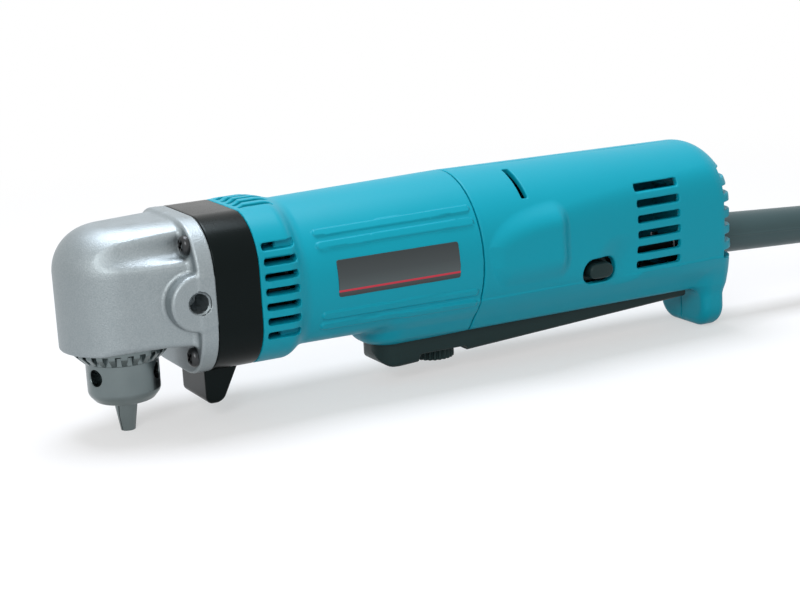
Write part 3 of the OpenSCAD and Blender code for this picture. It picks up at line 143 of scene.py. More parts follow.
def roundProfile(radius, sides):  # a circle, or one circle for each radius
    turn = 2 * np.pi * np.arange(sides) / sides
    return np.asarray(radius)[..., None, None] * np.stack([np.cos(turn), np.sin(turn)], -1)


def roundedLoop(halfU, halfV, corner, steps):  # four quarter circles joined by straight sides
    turn = np.linspace(0, np.pi / 2, steps)
    quarters = ((1, 1, 0), (-1, 1, 0.5), (-1, -1, 1), (1, -1, 1.5))
    return np.vstack([np.stack([su * (halfU - corner) + corner * np.cos(turn + start * np.pi),
                                sv * (halfV - corner) + corner * np.sin(turn + start * np.pi)], -1)
                      for su, sv, start in quarters])


# cord: down from the guard, an oval hank in three layers, and down inside it to the plug

cordSettings = {
    "diameter": 8.0, "length": 2.25, "start": (225.37, 0.0, 30.0), "leadLength": 78.0, "leadIn": 6.5,
    "leadSteps": 12, "toHank": 94.0, "hankZ": 6.0, "hankRadius": 33.0, "hankLength": 165.0,
    "straightShare": 0.3, "dip": 1.6, "pitch": 8.7, "layerTurns": 1.0, "climbTurns": 0.5, "turns": 4.0,
    "turnSteps": 40, "endLength": 80.0, "fallShare": 0.75, "plugZ": 14.0, "endSteps": 14, "sides": 18,
}


def ease(t):
    t = np.clip(t, 0, 1)
    return t * t * (3 - 2 * t)


def bow(t):  # one parabola up to the middle, and the same one turned round after it
    t = np.clip(t, 0, 1)
    return np.where(t < 0.5, 2 * t ** 2, 1 - 2 * (1 - t) ** 2)


def hankPoint(turn):
    # two straight runs and two half circles a turn: each layer spirals in or out, then climbs to the next
    s = cordSettings
    span = s["layerTurns"] + s["climbTurns"]
    layer = [np.clip((turn - i * span) / s["layerTurns"], 0, 1) for i in range(3)]
    climb = [np.clip((turn - i * span - s["layerTurns"]) / s["climbTurns"], 0, 1) for i in range(2)]
    radius = s["hankRadius"] + s["pitch"] * (layer[1] - layer[0] - layer[2])
    radius = radius + s["dip"] * (np.sin(np.pi * climb[1]) - np.sin(np.pi * climb[0]))
    phase = turn % 1
    part = phase % 0.5
    way = np.where(phase >= 0.5, -1.0, 1.0)
    run = np.clip(part / s["straightShare"], 0, 1)
    bend = np.pi * (np.maximum(part - s["straightShare"], 0) / (0.5 - s["straightShare"]) - 0.5)
    middle = [s["start"][0] + s["toHank"] + s["hankLength"] / 2, 0, s["hankZ"]]
    return np.array(middle) + np.stack([way * (s["hankLength"] * (run - 0.5) + radius * np.cos(bend)),
                                        way * radius * np.sin(bend),
                                        s["pitch"] * (ease(climb[0]) + ease(climb[1]))], -1)


def cordRoute():
    s = cordSettings
    t = np.linspace(0, 1, s["leadSteps"] + 1)
    reach = s["leadLength"]
    sway = bow((reach * t - s["leadIn"]) / (reach - s["leadIn"]))
    lead = np.array(s["start"]) + np.stack([reach * t, -s["hankRadius"] * sway,
                                            (s["hankZ"] - s["start"][2]) * bow(t)], -1)
    wound = hankPoint(np.linspace(0, s["turns"], int(s["turns"] * s["turnSteps"]) + 1))
    straight = np.array([s["diameter"], 0, 0])
    last = wound[-1] + 2 * straight
    t = np.linspace(0, 1, s["endSteps"] + 1)
    fall = (s["plugZ"] - last[2]) * bow((t - 1 + s["fallShare"]) / s["fallShare"])
    end = last + np.stack([s["endLength"] * t, -last[1] * bow(t), fall], -1)
    route = [lead, wound[:1] - straight, wound, wound[-1:] + straight, end, end[-1:] + straight / 2]
    return np.vstack(route) * mm


cordPath = cordRoute()
cordRound = roundProfile(cordSettings["diameter"] / 2 * mm, cordSettings["sides"])
cordPiece = newPiece("powerCord", *tubeAlong(cordPath, cordRound))
print("cord laid")


# solids as fields: negative inside, and the surface is where the field is zero

skinning = {"nudge": 0.05, "slides": 4, "longestSlide": 0.4, "leastSlope": 0.1, "leastNormal": 1e-6}


def roundMax(a, b, r):  # what lies in both, with an outer edge of radius r
    return np.minimum(np.maximum(a, b), -r) + np.hypot(np.maximum(a + r, 0), np.maximum(b + r, 0))


def roundMin(a, b, r):  # both together, with an inner fillet of radius r
    return -roundMax(-a, -b, r)


def cutFrom(a, hole, r):  # a with the hole taken out, and the hole's edge rounded by r
    return roundMax(a, -hole, r)


def smoothMin(a, b, k):  # both together, melted where they are within k of each other
    return np.minimum(a, b) - np.maximum(k - np.abs(a - b), 0) ** 2 / (4 * k)


def smoothMax(a, b, k):
    return -smoothMin(-a, -b, k)


def roundRect(u, v, halfU, halfV, r):
    a, b = np.abs(u) - halfU + r, np.abs(v) - halfV + r
    return np.minimum(np.maximum(a, b), 0) + np.hypot(np.maximum(a, 0), np.maximum(b, 0)) - r


def between(x, low, high):
    return np.maximum(low - x, x - high)


def skinOf(field, low, high, step):
    # each grid cell that the surface crosses gets a point, which slides down the field's slope on to it,
    # and each grid edge that the surface crosses gets a face of the four cells around it
    axes = [np.arange(a, b + step, step) for a, b in zip(low, high)]
    grid = np.meshgrid(*axes, indexing="ij")
    values = field(*grid).astype(np.float32)
    inside = values < 0
    corners = [(i, j, k) for i in (0, 1) for j in (0, 1) for k in (0, 1)]
    cells = [n - 1 for n in inside.shape]
    window = [tuple(slice(c, c + n) for c, n in zip(corner, cells)) for corner in corners]
    count = sum(inside[w].astype(np.int8) for w in window)
    crossed = (count > 0) & (count < 8)
    number = np.full(cells, -1)
    number[crossed] = np.arange(crossed.sum())
    at = np.argwhere(crossed)
    total, hits = np.zeros((len(at), 3)), np.zeros(len(at))
    for a, first in enumerate(corners):
        for second in corners[a + 1:]:
            if sum(p != q for p, q in zip(first, second)) > 1:
                continue
            f0 = values[tuple((at + first).T)]
            f1 = values[tuple((at + second).T)]
            mixed = (f0 < 0) != (f1 < 0)
            share = np.where(mixed, f0 / np.where(mixed, f0 - f1, 1), 0)[:, None]
            total += mixed[:, None] * (np.array(first) + share * (np.array(second) - np.array(first)))
            hits += mixed
    points = np.array(low) + (at + total / hits[:, None]) * step
    nudge = step * skinning["nudge"]
    for _ in range(skinning["slides"]):
        value = field(*points.T)
        slope = np.stack([field(*(points + nudge * axis).T) - field(*(points - nudge * axis).T)
                          for axis in np.eye(3)], -1) / (2 * nudge)
        steep = np.maximum((slope ** 2).sum(1, keepdims=True), skinning["leastSlope"])
        longest = skinning["longestSlide"] * step
        points = points - np.clip(value[:, None] * slope / steep, -longest, longest)
    normals = slope / np.maximum(np.linalg.norm(slope, axis=1, keepdims=True), skinning["leastNormal"])
    faces = []
    for axis in range(3):
        b, c = (axis + 1) % 3, (axis + 2) % 3
        here = np.argwhere(np.diff(inside, axis=axis))
        here = here[(here[:, b] > 0) & (here[:, c] > 0) & (here[:, b] < cells[b]) & (here[:, c] < cells[c])]
        eb, ec = np.eye(3, dtype=int)[b], np.eye(3, dtype=int)[c]
        quad = np.stack([number[tuple((here - o).T)] for o in (eb + ec, ec, 0 * eb, eb)], -1)
        enters = inside[tuple(here.T)]
        faces.append(np.where(enters[:, None], quad, quad[:, ::-1]))
    return (points + toolOrigin) * mm, np.vstack(faces), normals


# node groups that several finishes share

def newGroup(name, inputs, outputs):
    group = bpy.data.node_groups.new(name, "ShaderNodeTree")
    for label, kind, value in inputs:
        socket = group.interface.new_socket(label, in_out="INPUT", socket_type=kind)
        socket.default_value = value
    for label, kind in outputs:
        group.interface.new_socket(label, in_out="OUTPUT", socket_type=kind)
    return group, group.nodes.new("NodeGroupInput"), group.nodes.new("NodeGroupOutput")


def addNode(tree, kind, inputs=None, **settings):
    node = tree.nodes.new(kind)
    for key, value in settings.items():
        setattr(node, key, value)
    for key, value in (inputs or {}).items():
        if isinstance(value, bpy.types.NodeSocket):
            tree.links.new(value, node.inputs[key])
        else:
            node.inputs[key].default_value = value
    return node


def makeGrainGroup():
    # two sizes of noise: a fine one for the skin's height, a broad one for cloudy colour
    group, given, out = newGroup("mouldedSkin", [("Grain Size", "NodeSocketFloat", 2500.0),
                                                 ("Cloud Size", "NodeSocketFloat", 40.0)],
                                 [("Height", "NodeSocketFloat"), ("Cloud", "NodeSocketFloat"),
                                  ("Speckle", "NodeSocketFloat")])
    place = addNode(group, "ShaderNodeTexCoord").outputs["Object"]
    fine = addNode(group, "ShaderNodeTexNoise", {"Vector": place, "Scale": given.outputs["Grain Size"],
                                                 "Detail": 2.0, "Roughness": 0.6})
    sharp = addNode(group, "ShaderNodeMapRange", {"Value": fine.outputs["Fac"], "From Min": 0.36,
                                                  "From Max": 0.64})
    broad = addNode(group, "ShaderNodeTexNoise", {"Vector": place, "Scale": given.outputs["Cloud Size"],
                                                  "Detail": 4.0, "Roughness": 0.55})
    group.links.new(fine.outputs["Fac"], out.inputs["Height"])
    group.links.new(broad.outputs["Fac"], out.inputs["Cloud"])
    group.links.new(sharp.outputs["Result"], out.inputs["Speckle"])
    return group


def makeBrushGroup():
    # noise drawn out along one axis, as a lathe or a belt leaves it
    group, given, out = newGroup("toolMarks", [("Stretch", "NodeSocketVector", (60.0, 60.0, 3000.0))],
                                 [("Height", "NodeSocketFloat"), ("Cloud", "NodeSocketFloat")])
    place = addNode(group, "ShaderNodeTexCoord").outputs["Object"]
    drawn = addNode(group, "ShaderNodeVectorMath", {0: place, 1: given.outputs["Stretch"]},
                    operation="MULTIPLY")
    fine = addNode(group, "ShaderNodeTexNoise", {"Vector": drawn.outputs[0], "Scale": 1.0, "Detail": 3.0})
    broad = addNode(group, "ShaderNodeTexNoise", {"Vector": place, "Scale": 90.0, "Detail": 3.0})
    group.links.new(fine.outputs["Fac"], out.inputs["Height"])
    group.links.new(broad.outputs["Fac"], out.inputs["Cloud"])
    return group


grainGroup = makeGrainGroup()
brushGroup = makeBrushGroup()


def newFinish(name, group, sizes, dark, light, rough, bump, sockets=None):
    # colour and roughness drift with the cloudy noise, and the fine noise lifts the surface
    material = bpy.data.materials.new(name)
    material.use_nodes = True
    tree = material.node_tree
    shader = tree.nodes["Principled BSDF"]
    skin = addNode(tree, "ShaderNodeGroup", node_tree=group, name="skin")
    for socket, size in zip(skin.inputs, sizes):
        socket.default_value = size
    tint = addNode(tree, "ShaderNodeMix", {"Factor": skin.outputs["Cloud"]}, data_type="RGBA", name="tint")
    tint.inputs["A"].default_value = (*dark, 1)
    tint.inputs["B"].default_value = (*light, 1)
    gloss = addNode(tree, "ShaderNodeMapRange", {"Value": skin.outputs["Cloud"], "From Min": 0.3,
                                                 "From Max": 0.7, "To Min": rough[0], "To Max": rough[1]})
    lift = addNode(tree, "ShaderNodeBump", {"Height": skin.outputs["Height"], "Strength": bump[0],
                                            "Distance": bump[1]})
    tree.links.new(tint.outputs["Result"], shader.inputs["Base Color"])
    tree.links.new(gloss.outputs["Result"], shader.inputs["Roughness"])
    tree.links.new(lift.outputs["Normal"], shader.inputs["Normal"])
    for key, value in (sockets or {}).items():
        shader.inputs[key].default_value = value
    return material


def addSpeckle(material, share):  # the fine grain also shows in the colour
    tree = material.node_tree
    skin, tint = tree.nodes["skin"].outputs, tree.nodes["tint"]
    mixed = addNode(tree, "ShaderNodeMix", {"Factor": share, 2: skin["Cloud"], 3: skin["Speckle"]})
    tree.links.new(mixed.outputs[0], tint.inputs["Factor"])


def paintPlateShadeAndLine(material, base, height, shadeAndLineStops):
    # painted shade and a printed red line, laid on by height on the plate: each entry is a share of the
    # height and a colour
    tree = material.node_tree
    place = addNode(tree, "ShaderNodeTexCoord").outputs["Object"]
    upward = addNode(tree, "ShaderNodeSeparateXYZ", {0: place}).outputs["Z"]
    share = addNode(tree, "ShaderNodeMapRange", {"Value": upward, "From Min": base,
                                                 "From Max": base + height})
    ramp = addNode(tree, "ShaderNodeValToRGB", {"Fac": share.outputs["Result"]})
    for position, colour in shadeAndLineStops[1:-1]:
        ramp.color_ramp.elements.new(position)
    for element, (position, colour) in zip(ramp.color_ramp.elements, shadeAndLineStops):
        element.position = position
        element.color = (*colour, 1)
    # the ramp's painted shade and printed red line cover most of the plate's own grey
    shadeAndInk = addNode(tree, "ShaderNodeMix", {"Factor": 0.9}, data_type="RGBA")
    tree.links.new(tree.nodes["tint"].outputs["Result"], shadeAndInk.inputs["A"])
    tree.links.new(ramp.outputs["Color"], shadeAndInk.inputs["B"])
    tree.links.new(shadeAndInk.outputs["Result"], tree.nodes["Principled BSDF"].inputs["Base Color"])


# each row: noise, its sizes, dark and light colour, roughness, bump strength and height, other sockets
coolGloss = {"Specular Tint": (0.8, 1.0, 1.0, 1.0)}
finishRows = {
    "tealPlastic": (grainGroup, (2600.0, 30.0), (0.0, 0.335, 0.445), (0.0, 0.36, 0.475), (0.40, 0.47),
                    (0.12, 0.0002), {"Specular IOR Level": 0.23}),
    "castAlloy": (grainGroup, (1900.0, 160.0), (0.245, 0.285, 0.3), (0.35, 0.39, 0.405), (0.43, 0.53),
                  (0.42, 0.0003), {"Metallic": 0.95}),
    "blackPlastic": (grainGroup, (2200.0, 50.0), (0.0005, 0.0015, 0.0015), (0.0015, 0.003, 0.003),
                     (0.22, 0.29), (0.06, 0.0002), {"Specular IOR Level": 0.13, **coolGloss}),
    "leverPlastic": (grainGroup, (1800.0, 50.0), (0.008, 0.02, 0.02), (0.014, 0.029, 0.029), (0.40, 0.50),
                     (0.16, 0.0002), {"Specular IOR Level": 0.24, **coolGloss}),
    "guardRubber": (grainGroup, (1600.0, 60.0), (0.026, 0.056, 0.061), (0.038, 0.074, 0.079), (0.36, 0.46),
                    (0.18, 0.0002), coolGloss),
    "cordRubber": (grainGroup, (1700.0, 70.0), (0.016, 0.018, 0.019), (0.026, 0.028, 0.03), (0.42, 0.55),
                   (0.2, 0.0002)),
    "plateFoil": (brushGroup, ((60.0, 2000.0, 6000.0),), (0.05, 0.06, 0.062), (0.075, 0.085, 0.088),
                  (0.3, 0.4), (0.08, 0.0001), {"Metallic": 0.35}),
    "turnedSteel": (brushGroup, ((90.0, 90.0, 5200.0),), (0.28, 0.29, 0.295), (0.38, 0.39, 0.395),
                    (0.22, 0.34), (0.12, 0.0001), {"Metallic": 1.0}),
    "chuckSteel": (brushGroup, ((90.0, 90.0, 5200.0),), (0.125, 0.155, 0.158), (0.2, 0.235, 0.238),
                   (0.26, 0.36), (0.14, 0.0001), {"Metallic": 1.0}),
    "darkSteel": (brushGroup, ((300.0, 300.0, 2400.0),), (0.03, 0.032, 0.034), (0.07, 0.072, 0.074),
                  (0.24, 0.36), (0.2, 0.0001), {"Metallic": 0.9}),
    "coreSteel": (brushGroup, ((5200.0, 60.0, 60.0),), (0.2, 0.21, 0.22), (0.34, 0.35, 0.37), (0.4, 0.55),
                  (0.4, 0.0003), {"Metallic": 0.9}),
    "copperWire": (brushGroup, ((100.0, 1600.0, 1600.0),), (0.42, 0.16, 0.06), (0.62, 0.27, 0.11),
                   (0.25, 0.4), (0.5, 0.0005), {"Metallic": 0.8}),
    "plainBrass": (brushGroup, ((400.0, 400.0, 1800.0),), (0.5, 0.36, 0.14), (0.62, 0.46, 0.2), (0.28, 0.42),
                   (0.15, 0.0002), {"Metallic": 1.0}),
    "carbonBlock": (grainGroup, (1500.0, 200.0), (0.02, 0.02, 0.02), (0.04, 0.04, 0.04), (0.6, 0.75),
                    (0.3, 0.0003)),
    "greyNylon": (grainGroup, (1500.0, 90.0), (0.03, 0.033, 0.034), (0.05, 0.054, 0.055), (0.45, 0.55),
                  (0.1, 0.0002)),
    "capacitorShell": (grainGroup, (1400.0, 80.0), (0.06, 0.11, 0.24), (0.09, 0.15, 0.31), (0.28, 0.38),
                       (0.1, 0.0002)),
}
finishes = {name: newFinish(name, *row) for name, row in finishRows.items()}
alloySpeckle = 0.4
addSpeckle(finishes["castAlloy"], alloySpeckle)

nodeFinishes = {
    "turnedSteel": ["spindle", "upper_bearing", "lower_bearing", "pinion_bearing", "front_bearing",
                    "rear_bearing", "armature_shaft", "lever_pin", "clamp_screws", "plug_blades",
                    "lever_spring", "lock_spring"],
    "chuckSteel": ["jaw_1", "jaw_2", "jaw_3"],
    "darkSteel": ["bevel_gear", "bevel_pinion", "reduction_gear", "bearing_box", "handle_screws"],
    "coreSteel": ["field_core", "armature_core"],
    "blackPlastic": ["fan_baffle", "rear_bracket", "switch_body", "cord_clamp"],
    "copperWire": ["field_coils", "armature_winding", "commutator"],
    "plainBrass": ["brush_holders", "pinion_bush"],
    "carbonBlock": ["brushes"],
    "greyNylon": ["fan", "switch_plunger"],
    "capacitorShell": ["capacitor"],
    "cordRubber": ["inner_lead"],
}
for finishName, nodeNames in nodeFinishes.items():
    for nodeName in nodeNames:
        nodeMesh = frame["nodes"][nodeName].data
        nodeMesh.materials.clear()
        nodeMesh.materials.append(finishes[finishName])
print("finishes mixed")


def dress(piece, finish, body, slot, *replaced):
    piece.data.materials.append(finishes[finish])
    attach(piece, body)
    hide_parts(*replaced)
    return piece


def mould(name, field, step, finish, body, slot, node, below=1.0, above=1.0):
    # the field's skin, looked for in the box of the node that it replaces with some room round it
    low, high = spanOf(node)
    return dress(newPiece(name, *skinOf(field, low - below, high + above, step)), finish, body, slot, node)


# cord guard, plug and tie

guard = {
    "profile": ((0.0, 8.5), (0.4, 9.0), (4.2, 9.0), (4.5, 8.7), (4.55, 6.4), (7.05, 6.4), (7.1, 7.8),
                (7.3, 8.3), (7.7, 8.5), (9.6, 8.5), (10.0, 8.35), (10.4, 8.2), (97.2, 7.35), (97.6, 7.2),
                (97.85, 6.8), (97.9, 4.2)),
    "rows": (11.0, 97.0, 12), "tiltFrom": 10.1, "tilt": 3.13, "z": -12.0, "ridge": 0.3, "ridgeHalf": 0.08,
    "ridgeFrom": 10.4, "sides": 144,
}
plug = {
    "profile": ((0.0, 4.4), (0.4, 5.2), (1.2, 5.5), (5.0, 6.6), (9.0, 9.2), (12.0, 12.2), (14.0, 13.6),
                (15.5, 14.0), (24.0, 14.0), (25.3, 13.5), (26.0, 12.3)),
    "rows": 70, "flutes": 16, "fluteDepth": 0.4, "fluted": (13.0, 24.5), "fluteEase": 2.0, "sides": 128,
}
tie = {"thickness": 1.4, "corner": 4.0, "edge": 0.5, "cornerSteps": 12, "edgeSteps": 4}


def makeGuard():
    # rings of the profile's radius, with a mould line raised along both sides
    s = guard
    stations, radii = np.array(s["profile"]).T
    along = np.sort(np.concatenate([stations, np.linspace(*s["rows"])]))
    radius = np.interp(along, stations, radii)
    fall = np.maximum(along - s["tiltFrom"], 0) * math.tan(math.radians(s["tilt"]))
    start = spanOf("cord_guard")[0][0]
    path = np.stack([start + along, 0 * along, s["z"] - fall], -1)
    turn = 2 * np.pi * np.arange(s["sides"]) / s["sides"]
    off = np.abs((turn + np.pi / 2) % np.pi - np.pi / 2)
    raised = radius[:, None] + s["ridge"] * ease(1 - off / s["ridgeHalf"]) * (along > s["ridgeFrom"])[:, None]
    rings = raised[..., None] * np.stack([np.cos(turn), np.sin(turn)], -1)
    points, faces = tubeAlong((path + toolOrigin) * mm, rings * mm)
    return dress(newPiece("cordGuard", points, faces), "guardRubber", "housing", "guard_rubber", "cord_guard")


def makePlug():
    # a turned body whose wide part is fluted
    s = plug
    along = np.linspace(0, s["profile"][-1][0], s["rows"])
    radius = np.interp(along, *np.array(s["profile"]).T)
    low, high = spanOf("plug_body")
    middle = (low + high) / 2
    path = np.stack([low[0] + along, 0 * along + middle[1], 0 * along + middle[2]], -1)
    turn = 2 * np.pi * np.arange(s["sides"]) / s["sides"]
    first, last = s["fluted"]
    window = ease((along - first) / s["fluteEase"]) * ease((last - along) / s["fluteEase"])
    dip = s["fluteDepth"] * window[:, None] * (0.5 - 0.5 * np.cos(s["flutes"] * turn))
    rings = (radius[:, None] - dip)[..., None] * np.stack([np.cos(turn), np.sin(turn)], -1)
    points, faces = tubeAlong((path + toolOrigin) * mm, rings * mm)
    return dress(newPiece("plugBody", points, faces), "cordRubber", "housing", "cord_rubber", "plug_body")


def makeTie():
    # a flat band carried round the hank's near runs
    s = tie
    low, high = spanOf("cord_tie")
    middle, half = (low + high) / 2, (high - low) / 2
    inset = s["thickness"] / 2
    loop = roundedLoop(half[1] - inset, half[2] - inset, s["corner"], s["cornerSteps"])
    path = np.column_stack([np.full(len(loop), middle[0]), loop + middle[1:]])
    band = roundedLoop(inset, half[0], s["edge"], s["edgeSteps"])
    points, faces = tubeAlong((path + toolOrigin) * mm, band * mm, (1, 0, 0), True)
    return dress(newPiece("cordTie", points, faces), "cordRubber", "housing", "cord_rubber", "cord_tie")


dress(cordPiece, "cordRubber", "housing", "cord_rubber", "cord", "cord_coil", "cord_end")
cordFittings = [makeGuard(), makePlug(), makeTie(), frame["nodes"]["plug_blades"]]
print("guard, plug and tie made")


# angle head: a rounded dome on a flange, cast in one

head = {
    "radius": 21.5, "flare": 11.0, "top": 28.2, "topRound": 16.0, "bottom": -15.0, "bottomRound": 0.9,
    "flangeThick": 6.2, "halfWidth": 31.0, "halfHeight": 27.9, "middleZ": 1.1, "corner": 19.0,
    "flangeRound": 1.1, "flangeFillet": 2.0, "screwY": 22.3, "screwZ": 20.0, "channelRadius": 4.4,
    "channelRound": 2.6, "bossRadius": 10.2, "bossZ": 1.7, "bossRound": 1.3, "bossFillet": 1.3,
    "holeRadius": 3.4, "holeDepth": 13.0, "holeChamfer": 0.8, "boreRadius": 18.0, "boreTop": 12.0,
    "screwHole": 2.05, "shaftRise": 11.2, "shaftBore": 8.5, "bearingBore": 8.0, "roof": 3.8, "domeSink": 2.0,
    "rearEdge": 0.4, "boreEdge": 0.5, "bossShort": 0.5,
}


def flangeOutline(y, z):
    return roundRect(y, z - head["middleZ"], head["halfWidth"], head["halfHeight"], head["corner"])


def fromScrews(y, z):  # distance from the nearest of the four case screws' axes
    return np.hypot(np.abs(y) - head["screwY"], np.abs(z - head["middleZ"]) - head["screwZ"])


def headField(x, y, z):
    s = head
    front = flangeRear - s["flangeThick"]
    across = np.abs(y)
    lean = math.radians(s["flare"])
    back, out = x * math.cos(lean) + across * math.sin(lean), across * math.cos(lean) - x * math.sin(lean)
    plan = np.hypot(np.minimum(back, 0), out) - s["radius"]
    dome = roundMax(plan, z - s["top"], s["topRound"])
    dome = roundMax(dome, s["bottom"] - z, s["bottomRound"])
    dome = np.maximum(dome, x - front - s["domeSink"])
    dome = cutFrom(dome, fromScrews(y, z) - s["channelRadius"], s["channelRound"])
    flange = roundMax(flangeOutline(y, z), front - x, s["flangeRound"])
    flange = roundMax(flange, x - flangeRear, s["rearEdge"])
    fromHole = np.hypot(x - front, z - s["bossZ"])
    boss = roundMax(fromHole - s["bossRadius"], across - s["halfWidth"], s["bossRound"])
    boss = np.maximum(boss, x - flangeRear + s["bossShort"])
    solid = roundMin(roundMin(dome, flange, s["flangeFillet"]), boss, s["bossFillet"])
    mouth = np.clip(across - s["halfWidth"] + s["holeChamfer"], 0, s["holeChamfer"])
    hole = np.maximum(fromHole - s["holeRadius"] - mouth, s["halfWidth"] - s["holeDepth"] - across)
    solid = np.maximum(solid, -hole)
    axial = np.hypot(x, y)
    bore = np.maximum(axial - s["boreRadius"], z - s["boreTop"])
    bearing = np.maximum(axial - s["bearingBore"], between(z, 0, s["top"] - s["roof"]))
    shaft = np.maximum(np.hypot(y, z - s["shaftRise"]) - s["shaftBore"], s["shaftBore"] - x)
    solid = cutFrom(solid, bore, s["boreEdge"])
    solid = np.maximum(solid, -np.minimum(bearing, shaft))
    return np.maximum(solid, s["screwHole"] - fromScrews(y, z))


mould("angleHead", headField, 0.55, "castAlloy", "housing", "cast_alloy", "gear_case")
print("head cast")


# case screws: pan heads with a crossed slot

caseScrew = {"headRadius": 3.5, "headHeight": 2.4, "headRound": 1.7, "shank": 2.0, "slotHalf": 0.55,
             "slotReach": 2.2, "slotDepth": 1.7, "slotEdge": 0.12, "sink": 0.5, "room": (0.5, 4.0, 4.0),
             "step": 0.26}


def screwField(x, y, z):
    s = caseScrew
    seat = flangeRear - head["flangeThick"]
    side, up = np.abs(y) - head["screwY"], np.abs(z - head["middleZ"]) - head["screwZ"]
    away = np.hypot(side, up)
    pan = np.maximum(roundMax(away - s["headRadius"], seat - s["headHeight"] - x, s["headRound"]), x - seat)
    u, v = (side + up) / math.sqrt(2), (side - up) / math.sqrt(2)
    cross = np.maximum(np.minimum(np.abs(u), np.abs(v)) - s["slotHalf"], away - s["slotReach"])
    cross = np.maximum(cross, x - seat + s["headHeight"] - s["slotDepth"])
    pan = cutFrom(pan, cross, s["slotEdge"])
    shank = np.maximum(away - s["shank"], between(x, seat - s["sink"], spanOf("case_screws")[1][0]))
    return np.minimum(pan, shank)


def makeCaseScrews():
    low, high = spanOf("case_screws")
    skins, count = [], 0
    for side in (-1, 1):
        for up in (-1, 1):
            y, z = side * head["screwY"], head["middleZ"] + up * head["screwZ"]
            start = np.array([low[0], y, z]) - caseScrew["room"]
            end = np.array([high[0], y, z]) + caseScrew["room"]
            points, faces, normals = skinOf(screwField, start, end, caseScrew["step"])
            skins.append((points, faces + count, normals))
            count += len(points)
    piece = newPiece("caseScrews", *(np.vstack(part) for part in zip(*skins)))
    return dress(piece, "darkSteel", "housing", "gear_steel", "case_screws")


makeCaseScrews()
print("case screws turned")


# chuck: a turned body with key holes, and a toothed sleeve round it

chuck = {
    "radius": 13.0, "neck": 11.4, "neckLow": -17.1, "nose": -35.3, "noseRadius": 10.4, "bevel": 3.0,
    "edge": 0.5, "keyRadius": 3.0, "keyDepth": 6.0, "keyZ": -25.0, "keyTurns": (202, 322, 82), "keyEdge": 0.5,
    "bitBore": 5.1, "boreTop": -12.0, "jawTurns": (22, 142, 262), "jawTip": -0.5, "jawSlope": 18.0,
    "jawBore": 3.1, "jawOverlap": 0.5, "bevelEdge": 0.8, "neckEdge": 0.3, "neckSink": 1.0, "bitEdge": 0.4,
}
sleeve = {
    "radius": 17.25, "land": 13.05, "bore": 13.9, "landTop": -17.1, "bevel": 3.5, "lowRadius": 13.6,
    "edge": 0.35, "teeth": 24, "gapHalf": 1.0, "gapTop": -16.2, "rise": 1.0, "gapEdge": 0.25,
}


def chuckField(x, y, z):
    s = chuck
    axial = np.hypot(x, y)
    run = s["radius"] - s["noseRadius"]
    bevel = ((axial - s["noseRadius"]) * s["bevel"] - (z - s["nose"]) * run) / math.hypot(run, s["bevel"])
    solid = roundMax(axial - s["radius"], bevel, s["bevelEdge"])
    solid = roundMax(solid, s["nose"] - z, s["edge"])
    solid = roundMax(solid, z - s["neckLow"], s["neckEdge"])
    neck = between(z, s["neckLow"] - s["neckSink"], spanOf("chuck_body")[1][2])
    solid = np.minimum(solid, np.maximum(axial - s["neck"], neck))
    for turn in np.radians(s["keyTurns"]):
        out, side = x * np.cos(turn) + y * np.sin(turn), y * np.cos(turn) - x * np.sin(turn)
        hole = np.maximum(np.hypot(side, z - s["keyZ"]) - s["keyRadius"], s["radius"] - s["keyDepth"] - out)
        solid = cutFrom(solid, hole, s["keyEdge"])
    solid = cutFrom(solid, np.maximum(axial - s["bitBore"], z - s["boreTop"]), s["bitEdge"])
    lean = math.radians(s["jawSlope"])
    for turn in np.radians(s["jawTurns"]):
        out, side = x * np.cos(turn) + y * np.sin(turn), y * np.cos(turn) - x * np.sin(turn)
        rise = z - floorZ
        across = (out - s["jawTip"]) * math.cos(lean) - rise * math.sin(lean)
        bore = np.maximum(np.hypot(across, side) - s["jawBore"], s["bitBore"] - s["jawOverlap"] - out)
        solid = np.maximum(solid, -bore)
    return solid


def sleeveField(x, y, z):
    s = sleeve
    low, high = spanOf("chuck_sleeve")
    low[2] += s["rise"]
    axial = np.hypot(x, y)
    run = s["radius"] - s["lowRadius"]
    bevel = ((axial - s["lowRadius"]) * s["bevel"] - (z - low[2]) * run) / math.hypot(run, s["bevel"])
    solid = roundMax(roundMax(axial - s["radius"], bevel, s["edge"]), between(z, low[2], high[2]), s["edge"])
    pitch = 2 * np.pi / s["teeth"]
    turn = np.arctan2(y, x)
    along = (turn % pitch - pitch / 2) * axial
    gap = np.maximum(np.maximum(np.abs(along) - s["gapHalf"], z - s["gapTop"]), s["bore"] - axial)
    solid = cutFrom(solid, gap, s["gapEdge"])
    return np.maximum(solid, np.where(z > s["landTop"], s["bore"], s["land"]) - axial)


mould("chuckBody", chuckField, 0.32, "chuckSteel", "chuck", "bright_steel", "chuck_body")
mould("chuckSleeve", sleeveField, 0.32, "chuckSteel", "sleeve", "bright_steel", "chuck_sleeve")
print("chuck turned")


# black ring with its skid

ring = {
    "edge": 0.5, "boreRadius": 22.5, "bulkheadX": 37.0, "seatX": 40.4, "seatEnd": 46.4, "seatRadius": 10.5,
    "bearingRadius": 8.02, "shaftRoom": 5.0, "bushRadius": 5.02, "rear": 42.4,
    "skidHalfWidth": 12.5, "skidFront": 26.2, "skidBottom": -40.0, "skidRound": 2.4, "skidEdge": 1.4,
    "skidSlope": (39.6, -26.0, 32.6, -40.0), "skidFillet": 0.8, "frontGap": 0.08, "bushShort": 1.0,
}


